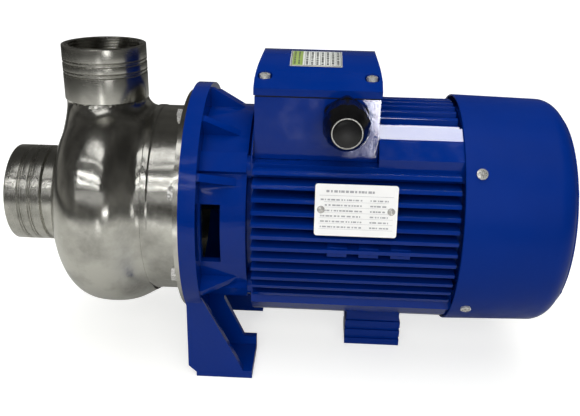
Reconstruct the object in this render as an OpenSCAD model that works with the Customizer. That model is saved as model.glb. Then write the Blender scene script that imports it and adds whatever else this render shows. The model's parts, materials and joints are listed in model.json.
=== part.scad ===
// Close-coupled centrifugal water pump: a pressed stainless casing and an open
// impeller on the shaft of a finned, fan-cooled motor, joined by a cast bracket.
// The shaft runs along X with the fan at +X. Z = 0 is the floor under the feet.
// X = 0, Y = 0 is the middle of the bracket's two foot bolts.

/* [Layout] */
// Height of the shaft above the floor
shaft_h = 130; // [126:1:140]
// Length of the motor frame
frame_len = 161; // [156:1:170]

/* [Pump end] */
// Outer radius of the suction socket
suction_r = 41; // [40:0.5:42]
// Radius of the suction thread's crests
suction_thread_r = 36.1; // [35.5:0.1:36.5]
// Depth of the suction thread
suction_thread_len = 28; // [24:1:30]
// Outer radius of the discharge socket
discharge_r = 33.8; // [33:0.2:35]
// Radius of the discharge thread's crests
discharge_thread_r = 28.3; // [27.5:0.1:29]
// Depth of the discharge thread
discharge_thread_len = 25; // [20:1:28]
// Height of the discharge mouth above the shaft
discharge_rise = 131; // [128:1:136]
// Largest radius of the volute
volute_r = 92; // [90:0.5:93]
// Radius of the casing's straight drum
drum_r = 79; // [78:0.5:80]
// Thickness of the casing's sheet
sheet_t = 2; // [1.5:0.1:2.5]
// Number of casing bolts
casing_bolt_count = 8; // [6:2:12]
// Outer radius of the impeller
impeller_r = 66; // [60:1:68]
// Number of impeller vanes
vane_count = 6; // [4:1:7]

/* [Bracket] */
// Radius of the bracket's flange
flange_r = 99.5; // [98:0.5:101]
// Thickness of the bracket's flange
flange_t = 13; // [12:0.5:14]
// Outer radius of the bracket's body
body_r = 82; // [81:0.5:83]
// Half the width across both legs
leg_y = 79; // [77:1:81]
// Distance between the two foot bolts
foot_pitch = 110; // [108:1:112]
// Radius of a foot bolt hole
foot_hole_r = 5.5; // [4.5:0.5:6.5]

/* [Motor] */
// Radius of the circle that holds the fin tips
fin_tip_r = 91.3; // [90:0.1:92]
// Radius of the motor's tube
tube_r = 72; // [71:0.5:73]
// Distance from fin to fin
fin_pitch = 9.3; // [9:0.1:9.6]
// Thickness of a fin
fin_t = 3; // [2.5:0.1:3.2]
// Outer radius of the fan cover
cover_r = 95.3; // [94.5:0.1:96]
// Number of fan blades
blade_count = 7; // [5:1:9]
// Number of stator slots
slot_count = 24; // [18:6:24]

/* [Terminal box] */
// Length of the terminal box
box_len = 94.5; // [92:0.5:96]
// Half the width of the terminal box
box_y = 56; // [55:0.5:57]
// Height of the lid's crest above the shaft
crest_rise = 129; // [127:0.5:131]
// Distance of the cable gland from the box's front end
gland_from_end = 69; // [66:1:72]

/* [Hidden] */
$fn = 96;
fine = 48;
small = 24;
gap = 0.3;
eps = 0.01;
deep = 40;

// Stations along the shaft, from the suction mouth to the fan cover
suction_mouth_x = -188;
nose_x = -156.5;
discharge_x = -106;
flange_x = -31.8;
flange_back_x = flange_x + flange_t;
body_end_x = 17;
frame_x = 20.3;
frame_end_x = frame_x + frame_len;
frame_bore_r = 65;
cover_x = frame_end_x - 1.5;
cover_end_x = frame_end_x + 84.7;
core_x = 55;
core_len = 90;

// Casing joint
joint_ring_r = 93;
joint_ring_t = 5;
cover_rim_r = 84;
cover_rim_t = 2;
cover_wall_x = -58;
casing_bolt_circle_r = 87.5;
m6_r = 3;
m6_head_r = 5.8;
m6_head_h = 4;
clear = 0.2;

// Shaft steps: [start x, end x, radius]
nose_thread = [-134, -118, 5];
impeller_seat = [-118, -84, 8];
seal_seat_shaft = [-84, 3, 10];
front_journal = [3, 30, 12.5];
rotor_seat = [30, 168, 16];
rear_journal = [168, 199, 10];
fan_seat = [199, 236, 9];

// Bearings: [start x, bore radius, outer radius, width, ball radius, balls]
front_bearing = [4, 12.5, 26, 15, 3.9, 9];
rear_bearing = [frame_end_x + 2, 10, 23.5, 14, 3.9, 8];
ball_clear = 0.08;
cage_half_t = 1.2;

// Terminal box
box_x = 21.5;
box_floor_z = 56;
box_top_z = 104;
box_wall = 4;
box_floor_t = 2.5;
lid_edge_z = 110.6;
lid_overhang = 0.8;
lid_half = box_y + lid_overhang;
lid_rise = crest_rise - lid_edge_z;
lid_arch_r = (lid_half * lid_half + lid_rise * lid_rise) / (2 * lid_rise);
lid_wall = 3;
lid_screw_y = 45;
lid_screw_inset = 7;
lid_seat_z = 116;
gland_x = box_x + gland_from_end;
gland_z = 89;

// Feet
leg_front_x = -31;
leg_inner_y = 32;
leg_wall = 6;
pad_front_x = -24.5;
pad_end_x = 22;
pad_t = 7;
lip_h = 15;
foot_x = 100;
foot_len = 49;
foot_half_y = 19;

// Nameplate
plate_x = 69.5;
plate_len = 61;
plate_h = 39;
plate_z = 28.7;
plate_tilt = 10;
plate_face_y = 89.2;
plate_t = 0.8;
rivet_inset = 4.6;

tie_angles = [40, 140, 220, 320];
tie_circle_r = 77.5;
shield_x = frame_end_x;
shield_t = 9;
shield_r = 86;
tie_head_x = body_end_x - 5;
tie_nut_h = 5;
tie_len = shield_x + shield_t + tie_nut_h + 1.5 - tie_head_x;
cover_screw_angle = 36;
cover_taper = 2.2;
cover_screw_x = cover_x + 11.8;
cover_screw_r = cover_r - cover_taper / 9;

// Puts children that stand on Z onto the shaft's axis, starting at x
module on_shaft(x) translate([x, 0, shaft_h]) rotate([0, 90, 0]) children();

// The same, for shapes that are still at height zero
module along_x(x) translate([x, 0, 0]) rotate([0, 90, 0]) children();

// Puts children that stand on Z at one or more places round the shaft
module round_shaft(x, r, angles)
    for (a = angles)
        translate([x, 0, shaft_h]) rotate([a, 0, 0]) translate([0, r, 0]) rotate([0, 90, 0]) children();

// A plain tube along the shaft
module tube(x0, x1, outer, inner)
    on_shaft(x0) difference() {
        cylinder(h = x1 - x0, r = outer);
        translate([0, 0, -1]) cylinder(h = x1 - x0 + 2, r = inner);
    }

// A step of the shaft
module step(s) on_shaft(s[0]) cylinder(h = s[1] - s[0], r = s[2]);

// An outline in X and Z, drawn from the shaft's axis, with a thickness in Y
module plate_xz(points, y, t)
    translate([0, y + t, shaft_h]) rotate([90, 0, 0]) linear_extrude(t) polygon(points);

function every(count, first = 0) = [for (i = [0 : count - 1]) first + i * 360 / count];
function arc(cx, cr, a, b, from, to, steps) =
    [for (i = [0 : steps]) let (t = from + (to - from) * i / steps) [cr + b * sin(t), cx + a * cos(t)]];

// ---- Pump end ----

bulge_x = -102;
bulge_front = 57;
bulge_core_r = 20;
bulge_back_x = -92;
bulge_back = 36;
bulge_back_r = 60;

// Outline of the casing, from the nose over the scroll to the joint
function casing_outline(t) = let (
    b = volute_r - bulge_core_r - t,
    back_b = volute_r - bulge_back_r - t,
    nose_t = asin((suction_r - bulge_core_r - sheet_t) / b),
    drum_t = asin((drum_r - t - bulge_back_r) / back_b)
) concat(
    arc(bulge_x, bulge_core_r, bulge_front - t, b, 180 - nose_t, 90, 14),
    arc(bulge_back_x, bulge_back_r, bulge_back - t, back_b, 90, drum_t, 10),
    [[drum_r - t, flange_x - joint_ring_t]]
);

module volute_casing() color("silver") difference() {
    on_shaft(0) rotate_extrude() difference() {
        polygon(concat([[0, nose_x + 14], [suction_r - sheet_t, nose_x + 14]], casing_outline(0),
            [[0, flange_x - joint_ring_t]]));
        polygon(concat([[0, nose_x + 14 + sheet_t]], casing_outline(sheet_t),
            [[drum_r - sheet_t, flange_x], [0, flange_x]]));
        translate([0, nose_x - sheet_t]) square([suction_r - 2 * sheet_t, 60]);
    }
    translate([discharge_x, 0, shaft_h + impeller_r]) cylinder(h = 60, r = discharge_r - sheet_t);
    translate([discharge_x, 0, shaft_h + volute_r - 7]) cylinder(h = 60, r = discharge_r + eps);
    on_shaft(nose_x - sheet_t) cylinder(h = 16 + sheet_t, r = suction_r + eps);
}

groove_w = 2.4;
groove_d = 1.1;
suction_end_x = nose_x + 14;
suction_root_x = nose_x - 3;

module suction_socket() color("silver") difference() {
    union() {
        on_shaft(suction_mouth_x) cylinder(h = suction_root_x - suction_mouth_x, r = suction_r);
        on_shaft(suction_root_x) cylinder(h = suction_end_x - suction_root_x, r = suction_r - 2);
    }
    on_shaft(suction_mouth_x - 1) cylinder(h = suction_thread_len + 1, r = suction_thread_r);
    on_shaft(suction_mouth_x) cylinder(h = 60, r = suction_thread_r - 3);
    on_shaft(suction_mouth_x) cylinder(h = 1.6, r1 = suction_thread_r + 1.6, r2 = suction_thread_r);
    for (x = [11.5, 20]) tube_groove(suction_mouth_x + x, suction_r);
}

module tube_groove(x, r)
    on_shaft(x) difference() {
        cylinder(h = groove_w, r = r + 1);
        translate([0, 0, -1]) cylinder(h = groove_w + 2, r = r - groove_d);
    }

discharge_root_z = volute_r - 7;
weld_z = 88;

module discharge_socket() color("silver") translate([discharge_x, 0, shaft_h]) difference() {
    union() {
        translate([0, 0, weld_z]) cylinder(h = discharge_rise - weld_z, r = discharge_r);
        translate([0, 0, discharge_root_z]) cylinder(h = weld_z - discharge_root_z, r = discharge_r - 1);
    }
    translate([0, 0, discharge_rise - discharge_thread_len]) cylinder(h = 60, r = discharge_thread_r);
    translate([0, 0, discharge_root_z - 1]) cylinder(h = 80, r = discharge_thread_r - 1.5);
    for (z = [11.5, 19.5])
        translate([0, 0, discharge_rise - z - groove_w]) difference() {
            cylinder(h = groove_w, r = discharge_r + 1);
            translate([0, 0, -1]) cylinder(h = groove_w + 2, r = discharge_r - groove_d);
        }
}

ring_x = flange_x - joint_ring_t;
bolt_grip = joint_ring_t + 11;
casing_bolt_angles = every(casing_bolt_count, 180 / casing_bolt_count);
o_ring_r = 80.7;
o_ring_wire_r = 1.6;

module joint_ring() color("gainsboro") difference() {
    tube(ring_x, flange_x, joint_ring_r, drum_r + eps);
    on_shaft(flange_x - cover_rim_t) cylinder(h = 10, r = cover_rim_r + 0.2);
    on_shaft(flange_x - cover_rim_t - 2 * o_ring_wire_r) cylinder(h = 10, r = o_ring_r + o_ring_wire_r + eps);
    round_shaft(ring_x - 1, casing_bolt_circle_r, casing_bolt_angles)
        cylinder(h = joint_ring_t + 2, r = m6_r + clear, $fn = small);
}

module casing_o_ring() color("black")
    on_shaft(flange_x - cover_rim_t - o_ring_wire_r)
        rotate_extrude() translate([o_ring_r, 0]) circle(r = o_ring_wire_r, $fn = small);

module hex_bolt(shank_r, shank_len, head_r, head_h) {
    translate([0, 0, -head_h]) cylinder(h = head_h, r = head_r, $fn = 6);
    cylinder(h = shank_len, r = shank_r, $fn = small);
}

module casing_bolts() color("silver")
    round_shaft(ring_x, casing_bolt_circle_r, casing_bolt_angles)
        hex_bolt(m6_r, bolt_grip, m6_head_r, m6_head_h);

seat_r = 18;
seat_bore_r = 10.6;
seat_len = 7;
cup_t = 2;
plate_wall_r = 74;

module seal_plate() color("silver") on_shaft(0) rotate_extrude() union() {
    translate([plate_wall_r, flange_x - cover_rim_t]) square([cover_rim_r - plate_wall_r, cover_rim_t]);
    translate([plate_wall_r - sheet_t, cover_wall_x]) square([sheet_t, flange_x - cover_wall_x]);
    translate([seat_r + cup_t, cover_wall_x]) square([plate_wall_r - seat_r - cup_t, sheet_t]);
    translate([seat_r + cup_t, cover_wall_x]) square([sheet_t, seat_len + cup_t]);
    translate([seat_bore_r + 2, cover_wall_x + seat_len + cup_t])
        square([seat_r - seat_bore_r + cup_t, sheet_t]);
}

module seal_cup() color("black") on_shaft(0) rotate_extrude() union() {
    translate([seat_r, cover_wall_x]) square([cup_t, seat_len + cup_t]);
    translate([seat_bore_r + 2, cover_wall_x + seat_len]) square([seat_r - seat_bore_r - 2 + eps, cup_t]);
}

module seal_seat() color("ivory") tube(cover_wall_x - 1, cover_wall_x + seat_len, seat_r, seat_bore_r);

head_len = 8;
head_x = cover_wall_x - 1 - gap - head_len;

module seal_head() color("dimgray") {
    tube(head_x + 2, head_x + head_len, 15.5, seal_seat_shaft[2]);
    tube(head_x, head_x + 4, 17, seal_seat_shaft[2]);
}

// A helix of round wire about Z, closed at both ends
function helix_ring(i, turns, steps, r, pitch, wire) = let (a = 360 * turns * i / steps)
    [for (k = [0 : 7]) let (q = 45 * k, rr = r + wire * cos(q))
        [rr * cos(a), rr * sin(a), pitch * turns * i / steps + wire * sin(q)]];

module coil(turns, r, pitch, wire) {
    steps = turns * 20;
    points = [for (i = [0 : steps]) each helix_ring(i, turns, steps, r, pitch, wire)];
    sides = [for (i = [0 : steps - 1]) for (k = [0 : 7])
        [8 * i + k, 8 * i + (k + 1) % 8, 8 * (i + 1) + (k + 1) % 8, 8 * (i + 1) + k]];
    polyhedron(points, concat(sides, [[for (k = [7 : -1 : 0]) k], [for (k = [0 : 7]) 8 * steps + k]]),
        convexity = 8);
}

spring_wire_r = 1;
spring_turns = 4;

spring_room = head_x - impeller_seat[1] - 2 * spring_wire_r - 0.2;

module seal_spring() color("silver") on_shaft(impeller_seat[1] + spring_wire_r + 0.1)
    coil(spring_turns, 13, spring_room / spring_turns, spring_wire_r);

hub_r = 15;
shroud_x = -98;
shroud_t = 4;
vane_front_x = -122;
vane_t = 3.4;
vane_bend_r = 58;

// One backward-curved vane between the hub and the rim
module vane() intersection() {
    translate([0, vane_bend_r - 6, 0]) difference() {
        cylinder(h = shroud_x - vane_front_x + 1, r = vane_bend_r);
        translate([0, 0, -1]) cylinder(h = shroud_x - vane_front_x + 3, r = vane_bend_r - vane_t);
    }
    translate([0, -impeller_r, 0]) cube([impeller_r, 2 * impeller_r, shroud_x - vane_front_x + 1]);
}

module impeller() color("lightgray") difference() {
    union() {
        on_shaft(shroud_x) cylinder(h = shroud_t, r = impeller_r);
        on_shaft(impeller_seat[0]) cylinder(h = impeller_seat[1] - impeller_seat[0], r = hub_r);
        on_shaft(vane_front_x) intersection() {
            for (a = every(vane_count)) rotate([0, 0, a]) vane();
            cylinder(h = 40, r = impeller_r);
        }
    }
    on_shaft(impeller_seat[0] - 20) cylinder(h = 70, r = impeller_seat[2]);
    on_shaft(vane_front_x - 1) cylinder(h = impeller_seat[0] - vane_front_x + 1, r = hub_r + 2);
    key_slot();
}

key_w = 5;
key_h = 5;
key_len = 20;

module key_block(x, len, r, grow)
    translate([x - grow, -key_w / 2 - grow, shaft_h + r - key_h / 2])
        cube([len + 2 * grow, key_w + 2 * grow, key_h + grow]);

module key_slot() key_block(-108, key_len, impeller_seat[2], eps);

module impeller_key() color("silver") key_block(-108, key_len, impeller_seat[2], 0);

washer_t = 2;

module impeller_washer() color("silver")
    tube(impeller_seat[0] - washer_t, impeller_seat[0], 11, nose_thread[2] + 0.1);

module impeller_nut() color("silver") difference() {
    on_shaft(impeller_seat[0] - washer_t - 10) cylinder(h = 10, r = 9.8, $fn = 6);
    on_shaft(impeller_seat[0] - washer_t - 11) cylinder(h = 12, r = nose_thread[2] + eps);
}

module shaft() color("silver") difference() {
    for (s = [nose_thread, impeller_seat, seal_seat_shaft, front_journal, rotor_seat, rear_journal, fan_seat])
        step(s);
    key_slot();
    fan_key_slot();
    circlip_groove();
}

module slinger() color("black") on_shaft(-12) rotate_extrude()
    polygon([[seal_seat_shaft[2], 0], [20, 5], [20, 7], [14, 7], [seal_seat_shaft[2], 7]]);

// ---- Bracket ----

rib_angles = [90, 60, 30, -30, -90, 120, 150, 210];
rib_t = 6;
rib_len = 28;
rib_h = 15;
window_x0 = -17.8;
window_x1 = -2.5;
window_h = 48;
hub_wall_x = 3;
hub_wall_r = 36;
body_wall = 7;
bracket_bore_r = 70;
end_wall_t = 8;
boss_w = 16;
boss_out = 16.5;
spigot_r = frame_bore_r - 0.1;
nut_pocket_r = 7.5;

module rib() translate([0, rib_t / 2, 0]) rotate([90, 0, 0]) linear_extrude(rib_t)
    polygon([[-1, -4], [-1, rib_h], [2, rib_h], [rib_len, 0], [rib_len, -4]]);

// One leg: an outer plate, an inner plate, a front wall and the pad that they stand on
module leg() {
    front = leg_front_x;
    top_z = -54;
    floor_z = -shaft_h;
    slope_x = 15;
    plate_xz([[front, -50], [front, floor_z + 10], [pad_front_x, floor_z + 4], [pad_front_x, floor_z],
        [pad_end_x - 1, floor_z], [pad_end_x - 1, floor_z + 6], [slope_x, floor_z + 6],
        [flange_back_x - 1, top_z]], -leg_y, leg_wall);
    plate_xz([[front, -70], [front, floor_z + 10], [pad_front_x, floor_z + 4], [pad_front_x, floor_z],
        [pad_end_x, floor_z], [pad_end_x, floor_z + lip_h], [slope_x - 4, floor_z + lip_h],
        [-6, -78], [-6, -70]], -leg_inner_y - leg_wall, leg_wall);
    intersection() {
        translate([front, -leg_y, 4]) cube([8, leg_y - leg_inner_y, shaft_h - 60]);
        plate_xz([[front, -40], [front, floor_z + 10], [pad_front_x, floor_z + 4], [pad_front_x, floor_z],
            [pad_end_x, floor_z], [pad_end_x, -40]], -leg_y, leg_y - leg_inner_y);
    }
    translate([pad_front_x, -leg_y, 0]) cube([pad_end_x - pad_front_x, leg_y - leg_inner_y, pad_t]);
}

module bracket() color("mediumblue") difference() {
    union() {
        tube(flange_x, flange_back_x, flange_r, bracket_bore_r);
        tube(flange_back_x - 1, body_end_x, body_r, body_r - body_wall);
        for (a = rib_angles)
            translate([flange_back_x, 0, shaft_h]) rotate([90 - a, 0, 0]) translate([0, 0, body_r]) rib();
        for (a = tie_angles)
            translate([flange_back_x - 1, 0, shaft_h]) rotate([a, 0, 0])
                translate([0, bracket_bore_r, -boss_w / 2])
                    cube([body_end_x - flange_back_x + 1, boss_out, boss_w]);
        tube(body_end_x - end_wall_t, body_end_x, body_r - 1, hub_wall_r - 2);
        tube(hub_wall_x, frame_x - 0.5, hub_wall_r, seal_seat_shaft[2] + 3);
        tube(body_end_x - eps, frame_x, bracket_bore_r, hub_wall_r + 4);
        tube(frame_x - 1, frame_x + 3.5, spigot_r, spigot_r - 7);
        round_shaft(tie_head_x, tie_circle_r, tie_angles) cylinder(h = frame_x - tie_head_x, r = 9);
        leg();
        mirror([0, 1, 0]) leg();
    }
    on_shaft(flange_x - 1) cylinder(h = 22, r = bracket_bore_r);
    on_shaft(front_bearing[0]) cylinder(h = deep, r = front_bearing[2]);
    on_shaft(0) cylinder(h = 10, r = seal_seat_shaft[2] + 3.2);
    for (s = [-1, 1])
        translate([window_x0, s > 0 ? 50 : -100, shaft_h - window_h / 2 + 1])
            cube([window_x1 - window_x0, 50, window_h]);
    round_shaft(flange_x - 1, casing_bolt_circle_r, casing_bolt_angles)
        cylinder(h = 13.5, r = m6_r + 0.05, $fn = small);
    round_shaft(body_end_x - 30, tie_circle_r, tie_angles) cylinder(h = 50, r = m6_r + clear, $fn = small);
    round_shaft(body_end_x - 12, tie_circle_r, tie_angles) cylinder(h = 7, r = nut_pocket_r);
    for (s = [-1, 1]) translate([0, s * foot_pitch / 2, -1]) cylinder(h = pad_t + 2, r = foot_hole_r);
}

module tie_bolts() color("silver")
    round_shaft(tie_head_x, tie_circle_r, tie_angles) {
        hex_bolt(m6_r, tie_len, m6_head_r, m6_head_h);
        translate([0, 0, shield_x + shield_t - tie_head_x]) cylinder(h = tie_nut_h, r = m6_head_r, $fn = 6);
    }

// ---- Motor ----

fins_side = 12;
fins_top = 10;
lug_points = [[-42, 60], [-45.4, 81.4], [-56, 74.4], [-69.3, 62.3], [-68, 45], [-50, 44]];

module fin_rows(count, length)
    for (i = [0 : count - 1]) let (z = (i - (count - 1) / 2) * fin_pitch)
        translate([frame_x + 1.5, -fin_tip_r, z - fin_t / 2]) cube([length, 2 * fin_tip_r, fin_t]);

module lug(sy, sz)
    translate([frame_x, 0, 0]) rotate([90, 0, 90]) linear_extrude(frame_len)
        polygon([for (p = lug_points) [-sy * p[0], sz * p[1]]]);

module motor_frame() color("mediumblue") difference() {
    union() {
        tube(frame_x, frame_end_x, tube_r, frame_bore_r);
        translate([0, 0, shaft_h]) intersection() {
            union() {
                fin_rows(fins_side, frame_len - 5);
                rotate([90, 0, 0]) fin_rows(fins_top, frame_len - 5);
            }
            along_x(frame_x) cylinder(h = frame_len, r = fin_tip_r);
        }
        translate([0, 0, shaft_h]) for (sy = [-1, 1]) for (sz = [-1, 1]) lug(sy, sz);
        for (i = [0 : 2]) name_pad(79.8 + 24 * i);
        plate_boss();
        translate([foot_x + 2, -14, shaft_h - fin_tip_r - 2]) cube([foot_len - 4, 28, 30]);
        translate([foot_x + 2, -13, shaft_h - 96]) cube([foot_len - 4, 26, 20]);
    }
    on_shaft(frame_x - 1) cylinder(h = frame_len + 2, r = frame_bore_r);
    on_shaft(frame_x - 1) cylinder(h = 1, r = 200);
    translate([box_x - gap, -100, shaft_h + box_floor_z - gap]) cube([box_len + 2 * gap, 200, 100]);
    nameplate_pocket();
    round_shaft(frame_x - 1, tie_circle_r, tie_angles)
        cylinder(h = frame_len + 2, r = m6_r + clear, $fn = small);
    for (x = foot_screw_xs) translate([x, 0, shaft_h - 97]) cylinder(h = 18, r = m6_r, $fn = small);
    for (x = box_screw_xs) for (s = [-1, 1])
        translate([x, s * box_screw_y, shaft_h + 55]) cylinder(h = 30, r = 2, $fn = small);
}

module name_pad(x) difference() {
    translate([x, -88.5, shaft_h - 10]) cube([15, 25, 8]);
    translate([x + 7.5, -80, shaft_h - 6]) rotate([90, 0, 0]) cylinder(h = 20, r = 1.6, $fn = small);
}

// Frame of the tilted nameplate: X along the motor, Y up the plate, Z outwards
module on_plate() translate([plate_x, -plate_face_y, shaft_h + plate_z]) rotate([90 - plate_tilt, 0, 0])
    translate([0, -plate_h / 2, 0]) children();

module plate_boss() on_plate() translate([0, plate_h / 2 - 7, -14]) {
    cube([rivet_inset + 5, 14, 14]);
    translate([plate_len - rivet_inset - 5, 0, 0]) cube([rivet_inset + 5, 14, 14]);
}

module nameplate_pocket() on_plate() {
    translate([-1, -1, 0]) cube([plate_len + 2, plate_h + 2, 20]);
    for (x = [rivet_inset, plate_len - rivet_inset])
        translate([x, plate_h / 2, -9]) cylinder(h = 12, r = 1.5, $fn = small);
}

module nameplate() color("whitesmoke") on_plate() difference() {
    union() {
        translate([2, 0, 0]) cube([plate_len - 4, plate_h, plate_t]);
        translate([0, 2, 0]) cube([plate_len, plate_h - 4, plate_t]);
        for (x = [2, plate_len - 2]) for (y = [2, plate_h - 2])
            translate([x, y, 0]) cylinder(h = plate_t, r = 2, $fn = small);
    }
    for (x = [rivet_inset, plate_len - rivet_inset])
        translate([x, plate_h / 2, -1]) cylinder(h = 3, r = 1.5, $fn = small);
}

module nameplate_rivets() color("silver") on_plate()
    for (x = [rivet_inset, plate_len - rivet_inset]) translate([x, plate_h / 2, 0]) {
        translate([0, 0, -8]) cylinder(h = 8 + plate_t, r = 1.4, $fn = small);
        translate([0, 0, plate_t]) cylinder(h = 0.9, r = 2.6, $fn = small);
    }

rotor_r = 36.6;
stator_bore_r = 37.2;
slot_in_r = 40;
slot_out_r = 56;
slot_w = 5;

module slots(w, x0, x1)
    for (a = every(slot_count))
        translate([x0, 0, shaft_h]) rotate([a, 0, 0])
            translate([0, slot_in_r, -w / 2]) cube([x1 - x0, slot_out_r - slot_in_r, w]);

module stator_core() color("gray") difference() {
    tube(core_x, core_x + core_len, frame_bore_r, stator_bore_r);
    slots(slot_w, core_x - 1, core_x + core_len + 1);
}

module stator_winding() color("peru") {
    slots(slot_w - 0.4, core_x - eps, core_x + core_len + eps);
    tube(core_x - 18, core_x, 60, 40.5);
    tube(core_x + core_len, core_x + core_len + 18, 60, 40.5);
}

rotor_blades = 8;

module rotor_core() color("slategray") {
    tube(core_x, core_x + core_len, rotor_r, rotor_seat[2]);
    for (x = [core_x - 7, core_x + core_len]) tube(x, x + 7, 34, 24);
    for (x = [core_x - 14, core_x + core_len + 7])
        for (a = every(rotor_blades))
            translate([x, 0, shaft_h]) rotate([a, 0, 0]) translate([0, 25, -1]) cube([7, 8, 2]);
}

// Bearing races share a groove that leaves the balls a small clearance
function ball_circle_r(b) = (b[1] + b[2]) / 2;

module ball_groove(b) on_shaft(b[0] + b[3] / 2) rotate_extrude()
    translate([ball_circle_r(b), 0]) circle(r = b[4] + ball_clear, $fn = fine);

module outer_race(b) difference() {
    tube(b[0], b[0] + b[3], b[2], ball_circle_r(b) + 2.2);
    ball_groove(b);
}

module inner_race(b) difference() {
    tube(b[0], b[0] + b[3], ball_circle_r(b) - 2.2, b[1]);
    ball_groove(b);
}

module race_balls(b)
    round_shaft(b[0] + b[3] / 2, ball_circle_r(b), every(b[5])) sphere(r = b[4], $fn = small);

module cage(b) difference() {
    tube(b[0] + 2.5, b[0] + b[3] - 2.5, ball_circle_r(b) + cage_half_t, ball_circle_r(b) - cage_half_t);
    for (a = every(b[5]))
        translate([b[0] + b[3] / 2, 0, shaft_h]) rotate([a, 0, 0]) translate([0, ball_circle_r(b) - 4, 0])
            rotate([-90, 0, 0]) cylinder(h = 8, r = b[4] + 0.05, $fn = small);
}

module front_bearing_outer() color("silver") outer_race(front_bearing);
module front_bearing_inner() color("silver") inner_race(front_bearing);
module front_bearing_balls() color("silver") race_balls(front_bearing);
module front_bearing_cage() color("goldenrod") cage(front_bearing);
module rear_bearing_outer() color("silver") outer_race(rear_bearing);
module rear_bearing_inner() color("silver") inner_race(rear_bearing);
module rear_bearing_balls() color("silver") race_balls(rear_bearing);
module rear_bearing_cage() color("goldenrod") cage(rear_bearing);

shield_hub_x = shield_x - 1;
shield_hub_end_x = shield_x + 18;
wave_t = 1;

module wave_washer() color("silver")
    tube(rear_bearing[0] - wave_t, rear_bearing[0], rear_bearing[2] - 0.3, 17);

module rear_end_shield() color("mediumblue") difference() {
    union() {
        tube(shield_x, shield_x + shield_t, shield_r, 30);
        tube(shield_x - 3.5, shield_x + 1, spigot_r, spigot_r - 10);
        tube(shield_hub_x, shield_hub_end_x, 32, rear_bearing[2]);
        tube(shield_hub_x - 3, shield_hub_x + 2, 32, 14);
        cover_screw_places() translate([-6, -6, -11.8]) cube([12, 12, 9.8]);
    }
    cover_screw_places() translate([0, 0, -12]) cylinder(h = 20, r = 2.05, $fn = small);
    on_shaft(rear_bearing[0] - wave_t) cylinder(h = 40, r = rear_bearing[2]);
    round_shaft(shield_x - 1, tie_circle_r, tie_angles)
        cylinder(h = shield_t + 2, r = m6_r + clear, $fn = small);
}

fan_x = 211;
fan_hub_len = 22;
fan_r = 80;
fan_disc_t = 3;
blade_w = 20;
blade_t = 2.5;

module fan_key_slot() key_block(fan_x + 1, 18, fan_seat[2], eps);

module fan_key() color("silver") key_block(fan_x + 1, 18, fan_seat[2], 0);

module cooling_fan() color("dimgray") difference() {
    union() {
        tube(fan_x, fan_x + fan_hub_len, 16, fan_seat[2]);
        tube(fan_x, fan_x + fan_disc_t, 50, fan_seat[2]);
        for (a = every(blade_count))
            translate([fan_x + 0.6, 0, shaft_h]) rotate([a, 0, 0])
                translate([0, 12, -blade_t / 2]) cube([blade_w, fan_r - 12, blade_t]);
    }
    fan_key_slot();
}

clip_x = fan_x + fan_hub_len;
clip_t = 1;

module circlip_groove() tube(clip_x - eps, clip_x + clip_t + eps, 12, fan_seat[2] - 0.6);

module fan_circlip() color("black") difference() {
    tube(clip_x, clip_x + clip_t, 11.5, fan_seat[2] - 0.6);
    translate([clip_x - 1, -1.5, shaft_h - 13]) cube([3, 3, 10]);
}

cover_t = 1.6;
cover_round = 17;
grille_rings = 6;
grille_slot = 5;
grille_step = 11;
grille_first_r = 16;
grille_spokes = 6;
grille_spoke_w = 5;

// Half section of the cover, r against x, slightly narrower at its round shoulder
module cover_section(shrink) {
    length = cover_end_x - cover_x - shrink;
    round_r = cover_round - shrink;
    r = cover_r - cover_taper - shrink;
    polygon([[0, 0], [cover_r - shrink, 0], [r, length - round_r], [0, length - round_r]]);
    square([r - round_r, length]);
    translate([r - round_r, length - round_r]) intersection() {
        circle(r = round_r);
        square(round_r);
    }
}

module fan_cover() color("mediumblue") difference() {
    on_shaft(cover_x) rotate_extrude() difference() {
        cover_section(0);
        cover_section(cover_t);
        translate([-1, -1]) square([cover_r - cover_t + 1, 3]);
    }
    difference() {
        for (i = [0 : grille_rings - 1]) let (r = grille_first_r + i * grille_step)
            tube(cover_end_x - 4, cover_end_x + 2, r + grille_slot, r);
        for (a = every(grille_spokes))
            translate([cover_end_x - 5, 0, shaft_h]) rotate([a, 0, 0])
                translate([0, 0, -grille_spoke_w / 2]) cube([8, 100, grille_spoke_w]);
    }
    cover_screw_places() translate([0, 0, -6]) cylinder(h = 12, r = 2.2, $fn = small);
}

// Four places on the cover's skirt, with Z outwards
module cover_screw_places()
    for (a = [cover_screw_angle, -cover_screw_angle, 180 - cover_screw_angle, 180 + cover_screw_angle])
        translate([cover_screw_x, 0, shaft_h]) rotate([a, 0, 0])
            translate([0, -cover_screw_r, 0]) rotate([90, 0, 0]) children();

screw_cross_w = 0.9;
screw_cross_len = 4;

// A pan-head screw with a cross recess; the head sits on Z = 0
module pan_screw(shank_r, shank_len, head_r, head_h) {
    difference() {
        cylinder(h = head_h, r = head_r, $fn = small);
        for (q = [0, 90]) rotate([0, 0, q])
            translate([-screw_cross_len / 2, -screw_cross_w / 2, head_h - 1])
                cube([screw_cross_len, screw_cross_w, 2]);
    }
    translate([0, 0, -shank_len]) cylinder(h = shank_len + eps, r = shank_r, $fn = small);
}

module fan_cover_screws() color("silver")
    cover_screw_places() translate([0, 0, 0.02]) pan_screw(1.95, 7.5, 4.2, 2.4);

// ---- Terminal box ----

box_mid_x = box_x + box_len / 2;
box_screw_y = 40;
box_screw_xs = [box_x + 12, box_x + box_len - 12];

module box_block(inset, z0, z1)
    translate([box_x + inset, -box_y + inset, shaft_h + z0])
        cube([box_len - 2 * inset, 2 * (box_y - inset), z1 - z0]);

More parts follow.
